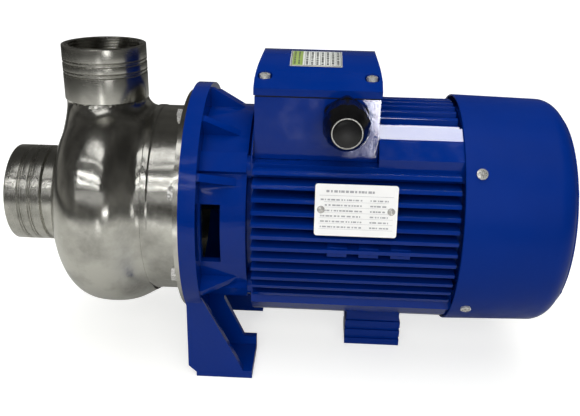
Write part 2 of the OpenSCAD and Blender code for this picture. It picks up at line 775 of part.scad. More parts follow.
module terminal_box() color("mediumblue") difference() {
    box_block(0, box_floor_z, box_top_z);
    box_block(box_wall, tube_r + box_floor_t, box_top_z + 1);
    on_shaft(0) cylinder(h = 200, r = tube_r + 0.05);
    translate([gland_x, -box_y + box_wall + 1, shaft_h + gland_z])
        rotate([90, 0, 0]) cylinder(h = box_wall + 2, r = 12.5);
    for (x = box_screw_xs) for (s = [-1, 1])
        translate([x, s * box_screw_y, shaft_h + box_floor_z - 1]) cylinder(h = 40, r = 2.2, $fn = small);
    lid_screw_places() translate([0, 0, -30]) cylinder(h = deep, r = lid_screw_r + 0.05, $fn = small);
}

module box_screws() color("silver")
    for (x = box_screw_xs) for (s = [-1, 1])
        translate([x, s * box_screw_y, shaft_h + tube_r + box_floor_t]) pan_screw(2, 17, 3.8, 2.2);

gasket_t = 1.2;

module box_gasket() color("black") difference() {
    box_block(0.6, box_top_z, box_top_z + gasket_t);
    box_block(box_wall + 0.5, box_top_z - 1, box_top_z + 3);
    lid_screw_places() translate([0, 0, -30]) cylinder(h = deep, r = 2.2, $fn = small);
}

lid_x0 = box_x - lid_overhang;
lid_len = box_len + 2 * lid_overhang;
lid_z0 = box_top_z + gasket_t;
lid_end_r = 34;

lid_screw_r = 1.85;
lid_screw_len = lid_seat_z - box_top_z + 11.5;
lid_screw_hole_r = 2.2;
lid_boss_r = 7;
lid_recess_r = 5.6;
// The lid's arch across the box, as a solid along X
module lid_arch(shrink) translate([lid_x0 + shrink, 0, shaft_h]) rotate([90, 0, 90])
    linear_extrude(lid_len - 2 * shrink) intersection() {
        translate([0, crest_rise - lid_arch_r]) circle(r = lid_arch_r - shrink, $fn = 192);
        translate([-lid_half + shrink, lid_z0 - 1]) square([2 * (lid_half - shrink), 60]);
    }

// The lid's side view, with its two round shoulders, as a solid along Y
module lid_side(shrink) translate([0, lid_half, shaft_h]) rotate([90, 0, 0])
    linear_extrude(2 * lid_half) {
        translate([lid_x0 + shrink, lid_z0 - shrink]) square([lid_len - 2 * shrink, lid_edge_z - lid_z0 + 6]);
        translate([lid_x0 + 7, lid_z0 - shrink]) square([lid_len - 14, crest_rise - lid_z0 + 5]);
        for (s = [0, 1])
            translate([lid_x0 + lid_end_r + s * (lid_len - 2 * lid_end_r), lid_edge_z + 3])
                circle(r = lid_end_r - shrink);
    }

module terminal_box_lid() color("mediumblue") difference() {
    intersection() {
        lid_arch(0);
        lid_side(0);
        translate([0, -100, shaft_h + lid_z0]) cube([200, 200, 60]);
    }
    difference() {
        intersection() {
            lid_arch(lid_wall);
            lid_side(lid_wall);
        }
        lid_screw_places() translate([0, 0, -deep]) cylinder(h = 2 * deep, r = lid_boss_r);
    }
    lid_screw_places() cylinder(h = deep, r = lid_recess_r);
    lid_screw_places() translate([0, 0, -deep]) cylinder(h = deep + 1, r = lid_screw_hole_r, $fn = small);
}

module lid_screw_places()
    for (x = [box_x + lid_screw_inset, box_x + box_len - lid_screw_inset]) for (s = [-1, 1])
        translate([x, s * lid_screw_y, shaft_h + lid_seat_z]) children();

module lid_screws() color("silver")
    lid_screw_places() pan_screw(lid_screw_r, lid_screw_len, 4.2, 4.2);

label_t = 0.3;
label_x = 46.5;
label_len = 40;
label_y0 = -37;
label_y1 = 12;

module lid_label() color("white") difference() {
    translate([label_x, 0, shaft_h + crest_rise - lid_arch_r]) rotate([0, 90, 0]) difference() {
        cylinder(h = label_len, r = lid_arch_r + label_t, $fn = 192);
        translate([0, 0, -1]) cylinder(h = label_len + 2, r = lid_arch_r + 0.02, $fn = 192);
    }
    translate([0, -300, 0]) cube([200, 300 + label_y0, 400]);
    translate([0, label_y1, 0]) cube([200, 300, 400]);
    translate([0, -100, -100]) cube([200, 200, shaft_h + 200]);
}

board_z = tube_r + box_floor_t;
board_t = 10;
stud_pitch_x = 16;
stud_pitch_y = 18;

module terminal_board() color("saddlebrown") difference() {
    translate([box_mid_x - 28, -20, shaft_h + board_z]) cube([56, 40, board_t]);
    stud_places() translate([0, 0, -1]) cylinder(h = board_t + 2, r = 2.1, $fn = small);
}

module stud_places()
    for (i = [-1 : 1]) for (j = [-1, 1])
        translate([box_mid_x + i * stud_pitch_x, j * stud_pitch_y / 2, shaft_h + board_z]) children();

module terminal_studs() color("gold") {
    stud_places() {
        translate([0, 0, 1]) cylinder(h = board_t + 11, r = 2, $fn = small);
        translate([0, 0, board_t + 2]) cylinder(h = 3.2, r = 4, $fn = 6);
    }
    for (i = [-1 : 1])
        translate([box_mid_x + i * stud_pitch_x - 4, -stud_pitch_y / 2 - 4, shaft_h + board_z + board_t])
            cube([8, stud_pitch_y + 8, 2]);
}

// Cable gland on the near side of the box, pointing along -Y
gland_r = 17.5;
gland_hole_r = 12.5;
gland_mouth_r = 10.6;

module on_gland(y) translate([gland_x, -box_y - y, shaft_h + gland_z]) rotate([90, 0, 0]) children();

module gland_body() color("black") difference() {
    union() {
        on_gland(0) cylinder(h = 9, r = gland_r + 0.6, $fn = 6);
        on_gland(-box_wall - 5) cylinder(h = 14, r = gland_hole_r - 0.1);
        on_gland(8) cylinder(h = 16, r = 14);
    }
    on_gland(-20) cylinder(h = 60, r = 9.5);
}

module gland_locknut() color("black") difference() {
    on_gland(-box_wall - 4.5) cylinder(h = 4.5, r = 16, $fn = 6);
    on_gland(-box_wall - 6) cylinder(h = 20, r = gland_hole_r);
}

module gland_seal() color("dimgray") difference() {
    on_gland(24.2) cylinder(h = 12, r = gland_mouth_r - 0.2);
    on_gland(20) cylinder(h = 20, r = 6);
}

module gland_cap_nut() color("black") difference() {
    union() {
        on_gland(9.4) cylinder(h = 16, r = 17.2, $fn = 48);
        on_gland(25.4) cylinder(h = 14, r1 = 17.2, r2 = 12);
        for (a = every(12)) on_gland(10.4) rotate([0, 0, a]) translate([16.2, -1.2, 0]) cube([1.9, 2.4, 15]);
    }
    on_gland(5) cylinder(h = 19.1, r = 14.1);
    on_gland(20) cylinder(h = 30, r = gland_mouth_r);
}

module gland_blind_plug() color("black") {
    on_gland(24.2) cylinder(h = 13, r = 5.9);
    on_gland(36.4) cylinder(h = 4.4, r = gland_mouth_r - 0.3);
}

// ---- Feet ----

foot_top_z = shaft_h - 96;
foot_screw_xs = [foot_x + 13, foot_x + foot_len - 13];

module support_foot() color("mediumblue") difference() {
    union() {
        translate([foot_x + 1, -foot_half_y + 2, 0]) cube([foot_len - 2, 2 * foot_half_y - 4, foot_top_z]);
        for (z = [0, 9, 18])
            translate([foot_x, -foot_half_y, z]) cube([foot_len, 2 * foot_half_y, 6]);
    }
    for (x = foot_screw_xs) translate([x, 0, -1]) {
        cylinder(h = 60, r = m6_r + clear, $fn = small);
        cylinder(h = 17, r = 6.5);
    }
}

module support_foot_screws() color("silver")
    for (x = foot_screw_xs) translate([x, 0, 16]) hex_bolt(m6_r, foot_top_z - 16 + 14, m6_head_r, m6_head_h);

volute_casing();
suction_socket();
discharge_socket();
joint_ring();
casing_bolts();
casing_o_ring();
seal_plate();
seal_cup();
seal_seat();
seal_head();
seal_spring();
impeller();
impeller_key();
impeller_washer();
impeller_nut();
shaft();
slinger();
bracket();
tie_bolts();
motor_frame();
stator_core();
stator_winding();
rotor_core();
front_bearing_outer();
front_bearing_inner();
front_bearing_balls();
front_bearing_cage();
rear_bearing_outer();
rear_bearing_inner();
rear_bearing_balls();
rear_bearing_cage();
wave_washer();
rear_end_shield();
cooling_fan();
fan_key();
fan_circlip();
fan_cover();
fan_cover_screws();
terminal_box();
box_screws();
box_gasket();
terminal_box_lid();
lid_screws();
terminal_board();
terminal_studs();
gland_body();
gland_locknut();
gland_seal();
gland_cap_nut();
gland_blind_plug();
nameplate();
nameplate_rivets();
lid_label();
support_foot();
support_foot_screws();
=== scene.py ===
"""Looks of a close-coupled centrifugal water pump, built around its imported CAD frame."""
import bmesh
import bpy
import json
import math
import numpy as np
from mathutils import Matrix, Vector


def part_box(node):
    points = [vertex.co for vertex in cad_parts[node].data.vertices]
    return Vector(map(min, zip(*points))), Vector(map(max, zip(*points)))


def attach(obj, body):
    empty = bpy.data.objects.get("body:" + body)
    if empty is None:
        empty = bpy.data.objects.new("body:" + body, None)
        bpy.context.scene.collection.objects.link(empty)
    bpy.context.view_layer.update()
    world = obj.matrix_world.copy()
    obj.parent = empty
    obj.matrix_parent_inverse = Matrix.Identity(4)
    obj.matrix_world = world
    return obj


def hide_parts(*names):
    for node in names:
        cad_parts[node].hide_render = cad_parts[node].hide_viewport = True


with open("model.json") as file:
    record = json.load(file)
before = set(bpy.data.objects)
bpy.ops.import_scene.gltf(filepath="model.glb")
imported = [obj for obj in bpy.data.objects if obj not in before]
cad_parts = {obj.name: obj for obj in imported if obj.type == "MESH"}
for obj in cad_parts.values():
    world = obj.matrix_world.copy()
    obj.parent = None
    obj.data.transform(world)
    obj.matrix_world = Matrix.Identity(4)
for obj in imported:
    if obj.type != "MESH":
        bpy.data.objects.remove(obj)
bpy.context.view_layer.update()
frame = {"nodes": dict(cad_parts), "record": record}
nodes = frame["nodes"]
scene = bpy.context.scene
MM = 0.001


# ---- Camera ----

# The camera stands in front of the pump, a little above it, and looks slightly down
CAMERA_PLACE = Vector((0.0718, -0.5898, 0.3621))
CAMERA_YAW = math.radians(2.35)
CAMERA_PITCH = math.radians(22.07)
CAMERA_ROLL = math.radians(-1.22)
LENS = 45.33
SENSOR = 36.0


def add_camera():
    """The photograph's view, as a yaw, a pitch and a roll about the camera's place."""
    right = Vector((math.cos(CAMERA_YAW), math.sin(CAMERA_YAW), 0))
    ahead = Vector((-math.sin(CAMERA_YAW), math.cos(CAMERA_YAW), 0))
    up = Vector((0, 0, 1))
    look = ahead * math.cos(CAMERA_PITCH) - up * math.sin(CAMERA_PITCH)
    top = up * math.cos(CAMERA_PITCH) + ahead * math.sin(CAMERA_PITCH)
    x_axis = right * math.cos(CAMERA_ROLL) - top * math.sin(CAMERA_ROLL)
    y_axis = top * math.cos(CAMERA_ROLL) + right * math.sin(CAMERA_ROLL)
    turn = Matrix((x_axis, y_axis, -look)).transposed().to_4x4()
    data = bpy.data.cameras.new("camera")
    data.lens = LENS
    data.sensor_width = SENSOR
    data.clip_start = 0.01
    camera = bpy.data.objects.new("camera", data)
    camera.matrix_world = Matrix.Translation(CAMERA_PLACE) @ turn
    scene.collection.objects.link(camera)
    scene.camera = camera


add_camera()


# ---- Light, floor and surroundings ----

scene.view_settings.view_transform = "Standard"
AIM = Vector((0.0, 0.0, 0.13))


def add_strip(name, place, size, power, aim=AIM, glossy=True):
    """A flat white lamp that the camera doesn't see; glossy says whether reflections do."""
    data = bpy.data.lights.new(name, "AREA")
    data.shape = "RECTANGLE"
    data.size, data.size_y = size
    data.energy = power
    light = bpy.data.objects.new(name, data)
    light.location = place
    light.rotation_euler = (aim - Vector(place)).to_track_quat("-Z", "Y").to_euler()
    light.visible_glossy = glossy
    light.visible_camera = False
    scene.collection.objects.link(light)
    return light


def around(elevation, azimuth, distance):
    """A place seen from the pump in degrees above the floor and to the right of the front."""
    e, a = math.radians(elevation), math.radians(azimuth)
    return AIM + distance * Vector((math.sin(a) * math.cos(e), -math.cos(a) * math.cos(e), math.sin(e)))


def add_card(name, low, high, brightness, height=0.004):
    """A bright sheet lying on the floor that only reflections show."""
    size = (high[0] - low[0], high[1] - low[1])
    place = ((low[0] + high[0]) / 2, (low[1] + high[1]) / 2, height)
    power = brightness * math.pi * size[0] * size[1]
    card = add_strip(name, place, size, power, aim=Vector(place) + Vector((0, 0, 1)))
    card.rotation_euler = (math.pi, 0, 0)
    card.visible_diffuse = False
    return card


# Pieces that some of the lights are kept for; dress() fills them
FRAME = bpy.data.collections.new("motor_frame_alone")
PAINTED = bpy.data.collections.new("painted")
BLACK = bpy.data.collections.new("black_nylon")
BRIGHT = bpy.data.collections.new("bright_metal")


def only_for(pieces, light):
    """Lets a light be mirrored by the pieces of one collection alone."""
    light.light_linking.receiver_collection = pieces
    light.visible_diffuse = False


def add_lights():
    # Ceiling strips in front of the pump, seen as thin lines in its polished casing
    add_strip("strip_high", around(53, -24, 2.2), (1.6, 0.06), 0.9)
    add_strip("strip_middle", around(38.5, -24, 2.3), (1.6, 0.05), 2.2)
    add_strip("strip_low", around(30.5, -24, 2.4), (1.6, 0.045), 2.0)
    # A lamp above and behind for the motor frame's shoulders, and a bright floor for the terminal box
    only_for(FRAME, add_strip("lamp_above", (0.42, 0.24, 1.9), (0.8, 0.6), 42))
    only_for(PAINTED, add_card("floor_right", (0.19, -1.6), (1.0, -0.4), 105))
    # Pale parts of the room that only bare metal mirrors
    only_for(BRIGHT, add_card("floor_front", (-0.17, -1.5), (-0.05, -0.5), 1.6))
    only_for(BRIGHT, add_card("floor_left", (-1.0, -1.3), (-0.2, -0.35), 0.14))
    only_for(BRIGHT, add_strip("room_left", around(66, -32, 2.0), (1.0, 0.5), 1.9))
    only_for(BRIGHT, add_strip("room_front", around(18, -14, 2.4), (2.4, 0.5), 1.6))
    only_for(BRIGHT, add_strip("room_right", around(2, 20, 2.4), (0.7, 0.2), 2.2))
    # A pale patch of floor for the gland's domed plug
    only_for(BLACK, add_card("floor_gland", (0.05, -0.9), (0.16, -0.6), 9))
    # Soft light from above and from the front that the steel doesn't mirror
    add_strip("soft_top", (0.1, -0.2, 1.9), (2.4, 2.4), 34, glossy=False)
    add_strip("soft_front", (0.2, -1.7, 0.9), (2.0, 1.2), 22, glossy=False)
    add_strip("soft_back", (0.0, 1.9, 1.2), (2.4, 1.2), 14, glossy=False)


def set_world():
    """A dark room with a paler band along its walls, and a plain pale backdrop for the eye."""
    world = bpy.data.worlds.new("room")
    scene.world = world
    world.use_nodes = True
    tree = world.node_tree
    tree.nodes.clear()
    out = tree.nodes.new("ShaderNodeOutputWorld")
    mix = tree.nodes.new("ShaderNodeMixShader")
    path = tree.nodes.new("ShaderNodeLightPath")
    room = tree.nodes.new("ShaderNodeBackground")
    wall = tree.nodes.new("ShaderNodeBackground")
    way = tree.nodes.new("ShaderNodeTexCoord")
    split = tree.nodes.new("ShaderNodeSeparateXYZ")
    patches = tree.nodes.new("ShaderNodeTexNoise")
    patches.inputs["Scale"].default_value = 2.2
    rise = tree.nodes.new("ShaderNodeMapRange")
    for index, value in ((1, 0.02), (2, 0.40), (3, 0.16), (4, 0.055)):
        rise.inputs[index].default_value = value
    shade = tree.nodes.new("ShaderNodeMath")
    shade.operation = "MULTIPLY"
    spread = tree.nodes.new("ShaderNodeMapRange")
    for index, value in ((1, 0.35), (2, 0.65), (3, 0.45), (4, 1.3)):
        spread.inputs[index].default_value = value
    room.inputs["Color"].default_value = (1.0, 0.98, 0.92, 1)
    wall.inputs["Color"].default_value = (0.93, 0.93, 0.93, 1)
    for start, end in ((way.outputs["Generated"], split.inputs[0]),
                       (way.outputs["Generated"], patches.inputs["Vector"]),
                       (split.outputs[2], rise.inputs[0]), (patches.outputs[0], spread.inputs[0]),
                       (rise.outputs[0], shade.inputs[0]), (spread.outputs[0], shade.inputs[1]),
                       (shade.outputs[0], room.inputs["Strength"]),
                       (path.outputs["Is Camera Ray"], mix.inputs[0]),
                       (room.outputs[0], mix.inputs[1]), (wall.outputs[0], mix.inputs[2]),
                       (mix.outputs[0], out.inputs["Surface"])):
        tree.links.new(start, end)


add_lights()
set_world()


# ---- Materials ----

class Shader:
    """A Principled material with short ways to add procedural nodes in the object's own space."""

    def __init__(self, name, **sockets):
        self.mat = bpy.data.materials.new(name)
        self.mat.use_nodes = True
        self.tree = self.mat.node_tree
        self.bsdf = self.tree.nodes["Principled BSDF"]
        self.coords = self.tree.nodes.new("ShaderNodeTexCoord").outputs["Object"]
        self.height = None
        for key, value in sockets.items():
            self.bsdf.inputs[key.replace("_", " ")].default_value = value

    def node(self, kind, **inputs):
        made = self.tree.nodes.new(kind)
        for key, value in inputs.items():
            socket = made.inputs[key.replace("_", " ")]
            if hasattr(value, "links"):
                self.tree.links.new(value, socket)
            else:
                socket.default_value = value
        return made

    def mapped(self, scale):
        return self.node("ShaderNodeMapping", Vector=self.coords, Scale=scale).outputs[0]

    def noise(self, scale, detail=3.0, rough=0.55, stretch=None):
        place = self.mapped(stretch) if stretch else self.coords
        return self.node("ShaderNodeTexNoise", Vector=place, Scale=scale, Detail=detail,
                         Roughness=rough).outputs[0]

    def ramp(self, factor, low, high, a=0.35, b=0.65):
        made = self.node("ShaderNodeMapRange", Value=factor)
        for index, value in ((1, a), (2, b), (3, low), (4, high)):
            made.inputs[index].default_value = value
        return made.outputs[0]

    def colors(self, factor, first, second):
        made = self.tree.nodes.new("ShaderNodeMix")
        made.data_type = "RGBA"
        self.tree.links.new(factor, made.inputs[0])
        for index, value in ((6, first), (7, second)):
            if hasattr(value, "links"):
                self.tree.links.new(value, made.inputs[index])
            else:
                made.inputs[index].default_value = (*value, 1)
        return made.outputs[2]

    def math(self, kind, first, second):
        made = self.tree.nodes.new("ShaderNodeMath")
        made.operation = kind
        for index, value in ((0, first), (1, second)):
            if hasattr(value, "links"):
                self.tree.links.new(value, made.inputs[index])
            else:
                made.inputs[index].default_value = value
        return made.outputs[0]

    def bump(self, height, depth, strength=1.0):
        made = self.node("ShaderNodeBump", Height=height, Distance=depth, Strength=strength)
        if self.height is not None:
            self.tree.links.new(self.height, made.inputs["Normal"])
        self.height = made.outputs[0]
        return self

    def set(self, **links):
        for key, value in links.items():
            self.tree.links.new(value, self.bsdf.inputs[key.replace("_", " ")])
        return self

    def done(self):
        if self.height is not None:
            self.tree.links.new(self.height, self.bsdf.inputs["Normal"])
        return self.mat


def paint(name, rough=0.17, casting=0.0, gloss=0.26):
    """Glossy blue enamel: orange peel over a cast or pressed ground, with fine random specks of a brighter
    blue.
    """
    s = Shader(name, Specular_IOR_Level=gloss)
    cloud = s.noise(9, 3)
    fine = s.noise(420, 2)
    base = s.colors(s.ramp(cloud, 0, 1, 0.3, 0.7), (0.0, 0.018, 0.168), (0.0, 0.022, 0.200))
    s.set(Base_Color=s.colors(s.ramp(fine, 0, 0.2, 0.6, 0.85), base, (0.001, 0.036, 0.27)))
    s.set(Roughness=s.ramp(s.noise(60, 3), rough - 0.04, rough + 0.07))
    s.bump(s.noise(330, 2, 0.4), 0.00005)
    if casting:
        s.bump(s.noise(1100, 3, 0.6), 0.00008, casting)
    return s.done()


def steel(name, color=(0.66, 0.65, 0.60), rough=0.15, stretch=(1, 1, 1), grain=240, spread=0.10, dent=0.00004,
          wave=0.0):
    """Stainless steel: long fine polishing lines, cloudy stains and shallow waves."""
    s = Shader(name, Metallic=1.0)
    lines = s.noise(grain, 5, 0.7, stretch)
    cloud = s.noise(26, 6, 0.65)
    dark = tuple(c * 0.55 for c in color)
    s.set(Base_Color=s.colors(s.ramp(cloud, 0, 1, 0.42, 0.72), color, dark))
    polish = s.ramp(lines, rough - spread / 2, rough + spread / 2, 0.3, 0.7)
    s.set(Roughness=s.math("ADD", polish, s.ramp(cloud, 0, 0.09)))
    if wave:
        s.bump(s.noise(17, 2, 0.5), wave)
        s.bump(s.noise(55, 2, 0.5), wave * 0.22)
    s.bump(lines, dent, 0.5)
    return s.done()


def plain(name, color, rough, metallic=0.0, grain=300, dent=0.00004, spread=0.12, tint=0.75):
    """A moulded, drawn or machined material with fine grain and a slight change of tone."""
    s = Shader(name, Metallic=metallic)
    tone = s.noise(35, 3)
    s.set(Base_Color=s.colors(s.ramp(tone, 0, 1), color, tuple(c * tint for c in color)))
    s.set(Roughness=s.ramp(s.noise(grain, 3), rough - spread / 2, rough + spread / 2))
    s.bump(s.noise(grain * 2, 3), dent)
    return s.done()


def laminations():
    """Stacked electrical steel sheets, seen as fine dark lines across the shaft."""
    s = Shader("lamination_steel", Metallic=0.8, Roughness=0.45)
    wave = s.node("ShaderNodeTexWave", Vector=s.coords, Scale=300, Distortion=0.2).outputs[1]
    s.set(Base_Color=s.colors(wave, (0.10, 0.10, 0.11), (0.3, 0.3, 0.31)))
    return s.bump(wave, 0.0001).done()


def winding():
    """Varnished copper wire laid round the stator's ends."""
    s = Shader("copper_winding", Metallic=0.9, Roughness=0.35)
    wires = s.noise(500, 2, 0.5, (1, 0.15, 0.15))
    s.set(Base_Color=s.colors(s.ramp(wires, 0, 1), (0.5, 0.18, 0.07), (0.24, 0.07, 0.03)))
    return s.bump(wires, 0.0004).done()


def floor_material():
    """A pale floor, lit up for the eye; in reflections it's mid grey near the pump and dark further away."""
    s = Shader("studio_floor", Roughness=0.7)
    s.bsdf.inputs["Specular IOR Level"].default_value = 0.05
    s.bsdf.inputs["Emission Color"].default_value = (1, 1, 1, 1)
    reach = s.node("ShaderNodeVectorMath", Vector=s.coords)
    reach.operation = "LENGTH"
    far = s.ramp(reach.outputs["Value"], 0, 1, 0.55, 1.3)
    near = s.colors(s.noise(3, 2), (0.60, 0.60, 0.57), (0.64, 0.64, 0.61))
    s.set(Base_Color=s.colors(far, near, (0.10, 0.10, 0.095)))
    seen = s.tree.nodes.new("ShaderNodeLightPath").outputs["Is Camera Ray"]
    s.set(Emission_Strength=s.math("MULTIPLY", seen, s.math("ADD", s.math("MULTIPLY", far, 0.5), 0.62)))
    return s.done()


MATERIALS = {
    "polished_stainless": steel("polished_stainless", wave=0.0011),
    "turned_stainless": steel("turned_stainless", rough=0.19, stretch=(7, 0.25, 0.25), grain=260,
                              spread=0.06, dent=0.000005),
    "turned_upright": steel("turned_upright", rough=0.19, stretch=(0.25, 0.25, 7), grain=260,
                            spread=0.06, dent=0.000005),
    "cast_stainless": steel("cast_stainless", (0.5, 0.49, 0.47), 0.33),
    "blue_enamel": paint("blue_enamel"),
    "blue_casting": paint("blue_casting", 0.09, 0.3),
    "blue_flat": paint("blue_flat", 0.09, 0.3),
    "blue_frame": paint("blue_frame", 0.09, 0.3),
    "blue_satin": paint("blue_satin", 0.34, 0, 0.1),
    "zinc_screw": plain("zinc_screw", (0.72, 0.71, 0.68), 0.25, 0.6),
    "machined_steel": steel("machined_steel", (0.56, 0.56, 0.55), 0.24, (8, 0.5, 0.5)),
    "spring_steel": plain("spring_steel", (0.42, 0.42, 0.42), 0.3, 1.0),
    "bearing_steel": plain("bearing_steel", (0.7, 0.7, 0.7), 0.12, 1.0, 500, 0.00001, 0.06),
    "cage_brass": plain("cage_brass", (0.7, 0.48, 0.18), 0.28, 1.0),
    "terminal_brass": plain("terminal_brass", (0.78, 0.55, 0.2), 0.22, 1.0),
    "lamination_steel": laminations(),
    "copper_winding": winding(),
    "black_rubber": plain("black_rubber", (0.014, 0.014, 0.014), 0.6),
    "seal_carbon": plain("seal_carbon", (0.05, 0.05, 0.055), 0.4),
    "seal_ceramic": plain("seal_ceramic", (0.86, 0.84, 0.78), 0.2, tint=0.93),
    "black_nylon": plain("black_nylon", (0.003, 0.003, 0.0035), 0.22, grain=600, dent=0.00002, spread=0.06),
    "plug_nylon": plain("plug_nylon", (0.004, 0.004, 0.0045), 0.42, grain=600, dent=0.00001, spread=0.06),
    "fan_plastic": plain("fan_plastic", (0.03, 0.03, 0.033), 0.45),
    "board_plastic": plain("board_plastic", (0.16, 0.05, 0.025), 0.4),
    "plate_aluminium": plain("plate_aluminium", (0.93, 0.93, 0.92), 0.35, 0.0, 500, 0.00002, tint=0.94),
    "printed_ink": plain("printed_ink", (0.42, 0.42, 0.44), 0.5),
    "label_ink": plain("label_ink", (0.10, 0.11, 0.10), 0.5),
    "label_green": plain("label_green", (0.34, 0.47, 0.12), 0.4, tint=0.9),
    "label_film": plain("label_film", (0.80, 0.82, 0.78), 0.35, tint=0.95),
}
# The finishes that each group of lights is kept for
LIGHT_GROUPS = (
    (FRAME, ("blue_frame",)),
    (PAINTED, ("blue_flat",)),
    (BLACK, ("black_nylon", "plug_nylon")),
    (BRIGHT, ("polished_stainless", "turned_stainless", "turned_upright", "cast_stainless", "zinc_screw",
              "spring_steel")),
)
CAST_NODES = ("bracket", "motor_frame", "terminal_box", "rear_end_shield", "support_foot", "terminal_box_lid")


def dress(obj, material):
    """Gives a piece its finish, and puts it in the light group of that finish."""
    obj.data.materials.clear()
    obj.data.materials.append(material)
    finish = material.name.split(".")[0]
    for pieces, finishes in LIGHT_GROUPS:
        if finish in finishes and obj.name not in pieces.objects:
            pieces.objects.link(obj)
        elif finish not in finishes and obj.name in pieces.objects:
            pieces.objects.unlink(obj)


for part in frame["record"]["subparts"]:
    name, slot = part["node"], part["material_slot"]
    dress(nodes[name], MATERIALS["blue_casting" if name in CAST_NODES else slot])


# ---- Mesh tools ----

SHAFT_H = 130
SHAFT = Vector((0, 0, SHAFT_H * MM))


def make_mesh(name, points, faces, slot, smooth=40):
    """A new piece of the pump from points in metres and faces, shaded smooth up to an angle."""
    mesh = bpy.data.meshes.new(name)
    mesh.from_pydata([tuple(p) for p in points], [], [tuple(f) for f in faces])
    mesh.validate()
    mesh.shade_smooth()
    mesh.set_sharp_from_angle(angle=math.radians(smooth))
    obj = bpy.data.objects.new(name, mesh)
    scene.collection.objects.link(obj)
    dress(obj, MATERIALS[slot])
    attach(obj, "pump")
    return obj


def rounded(points, steps=5):
    """An outline of (a, b, radius) corners, in millimetres, with each corner turned into an arc."""
    out = []
    for i, (a, b, radius) in enumerate(points):
        here = Vector((a, b))
        if radius <= 0 or i in (0, len(points) - 1):
            out.append(here)
            continue
        before = (Vector(points[i - 1][:2]) - here).normalized()
        after = (Vector(points[i + 1][:2]) - here).normalized()
        half = before.angle(after) / 2
        if half > math.pi / 2 - 0.02:
            out.append(here)
            continue
        reach = radius / math.tan(half)
        center = here + (before + after).normalized() * (radius / math.sin(half))
        start, end = here + before * reach - center, here + after * reach - center
        turn = start.angle_signed(end)
        for k in range(steps + 1):
            out.append(center + Matrix.Rotation(-turn * k / steps, 2) @ start)
    return out


def revolve(outline, sides=160):
    """Points and faces of an outline of (height, radius) pairs, in millimetres, turned about Z."""
    points = []
    for height, radius in outline:
        for k in range(sides):
            angle = 2 * math.pi * k / sides
            points.append((radius * math.cos(angle) * MM, radius * math.sin(angle) * MM, height * MM))
    faces = []
    for i in range(len(outline) - 1):
        j = i + 1
        for k in range(sides):
            m = (k + 1) % sides
            faces.append((i * sides + k, j * sides + k, j * sides + m, i * sides + m))
    return points, faces


def placed(points, matrix):
    """Points moved by a matrix."""
    return [matrix @ Vector(p) for p in points]


ALONG_SHAFT = Matrix.Translation(SHAFT) @ Matrix.Rotation(math.radians(90), 4, "Y")


def lathe(name, outline, slot, matrix=ALONG_SHAFT, sides=160, smooth=40):
    """A turned piece, on the shaft's line unless a matrix places it."""
    points, faces = revolve(outline, sides)
    return make_mesh(name, placed(points, matrix), faces, slot, smooth)


def weld_bead(name, height, radius, size, matrix):
    """A rolled TIG bead: a ring whose section swells and shrinks with each puddle."""
    sides, section = 320, 8
    puddles = int(2 * math.pi * radius / 2.2)
    points, faces = [], []
    for k in range(sides):
        angle = 2 * math.pi * k / sides
        swell = size * (0.86 + 0.14 * abs(math.sin(angle * puddles / 2)))
        for q in range(section):
            turn = 2 * math.pi * q / section
            r, h = radius + swell * math.cos(turn), height + swell * math.sin(turn)
            points.append((r * math.cos(angle) * MM, r * math.sin(angle) * MM, h * MM))
    for k in range(sides):
        for q in range(section):
            m, n = (k + 1) % sides, (q + 1) % section
            faces.append((k * section + q, m * section + q, m * section + n, k * section + n))
    return make_mesh(name, placed(points, matrix), faces, "turned_stainless", smooth=180)


# ---- Castings, with their edges broken ----

SHARP = math.radians(28)


def crisp(node, width, finish):
    """A cleaned copy of a CAD node, flat where it is flat, with small round edges that catch the light."""
    work = bmesh.new()
    work.from_mesh(nodes[node].data)
    bmesh.ops.remove_doubles(work, verts=work.verts, dist=0.00001)
    bmesh.ops.dissolve_limit(work, angle_limit=math.radians(0.6), verts=work.verts, edges=work.edges)
    mesh = bpy.data.meshes.new(node + "_cast")
    work.to_mesh(mesh)
    work.free()
    mesh.shade_smooth()
    mesh.set_sharp_from_angle(angle=SHARP)
    obj = bpy.data.objects.new(node + "_cast", mesh)
    scene.collection.objects.link(obj)
    dress(obj, MATERIALS[finish])
    bevel = obj.modifiers.new("bevel", "BEVEL")
    bevel.width = width
    bevel.segments = 2
    bevel.limit_method = "ANGLE"
    bevel.angle_limit = SHARP
    bevel.harden_normals = True
    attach(obj, "pump")
    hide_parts(node)


for cast, edge, coat in (("bracket", 0.0007, "blue_casting"), ("motor_frame", 0.0005, "blue_frame"),
                         ("terminal_box", 0.0008, "blue_flat"), ("terminal_box_lid", 0.0009, "blue_casting"),
                         ("support_foot", 0.0008, "blue_casting")):
    crisp(cast, edge, coat)


# ---- Casing ----

casing_low, casing_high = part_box("volute_casing")
suction_low, suction_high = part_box("suction_socket")
discharge_low, discharge_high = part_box("discharge_socket")
joint_low, joint_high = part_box("joint_ring")
DISCHARGE_X = (discharge_low.x + discharge_high.x) / 2 / MM
DISCHARGE_R = (discharge_high.x - discharge_low.x) / 2 / MM
SUCTION_R = (suction_high.y - suction_low.y) / 2 / MM
VOLUTE_R = (casing_high.y - casing_low.y) / 2 / MM
DRUM_R = 79.0
CREST_X = -99
DRUM_END_X = joint_low.x / MM
VOLUTE_END_X = -64.0
WELD_Z = discharge_low.z / MM - SHAFT_H + 3
SHEET = 2.0


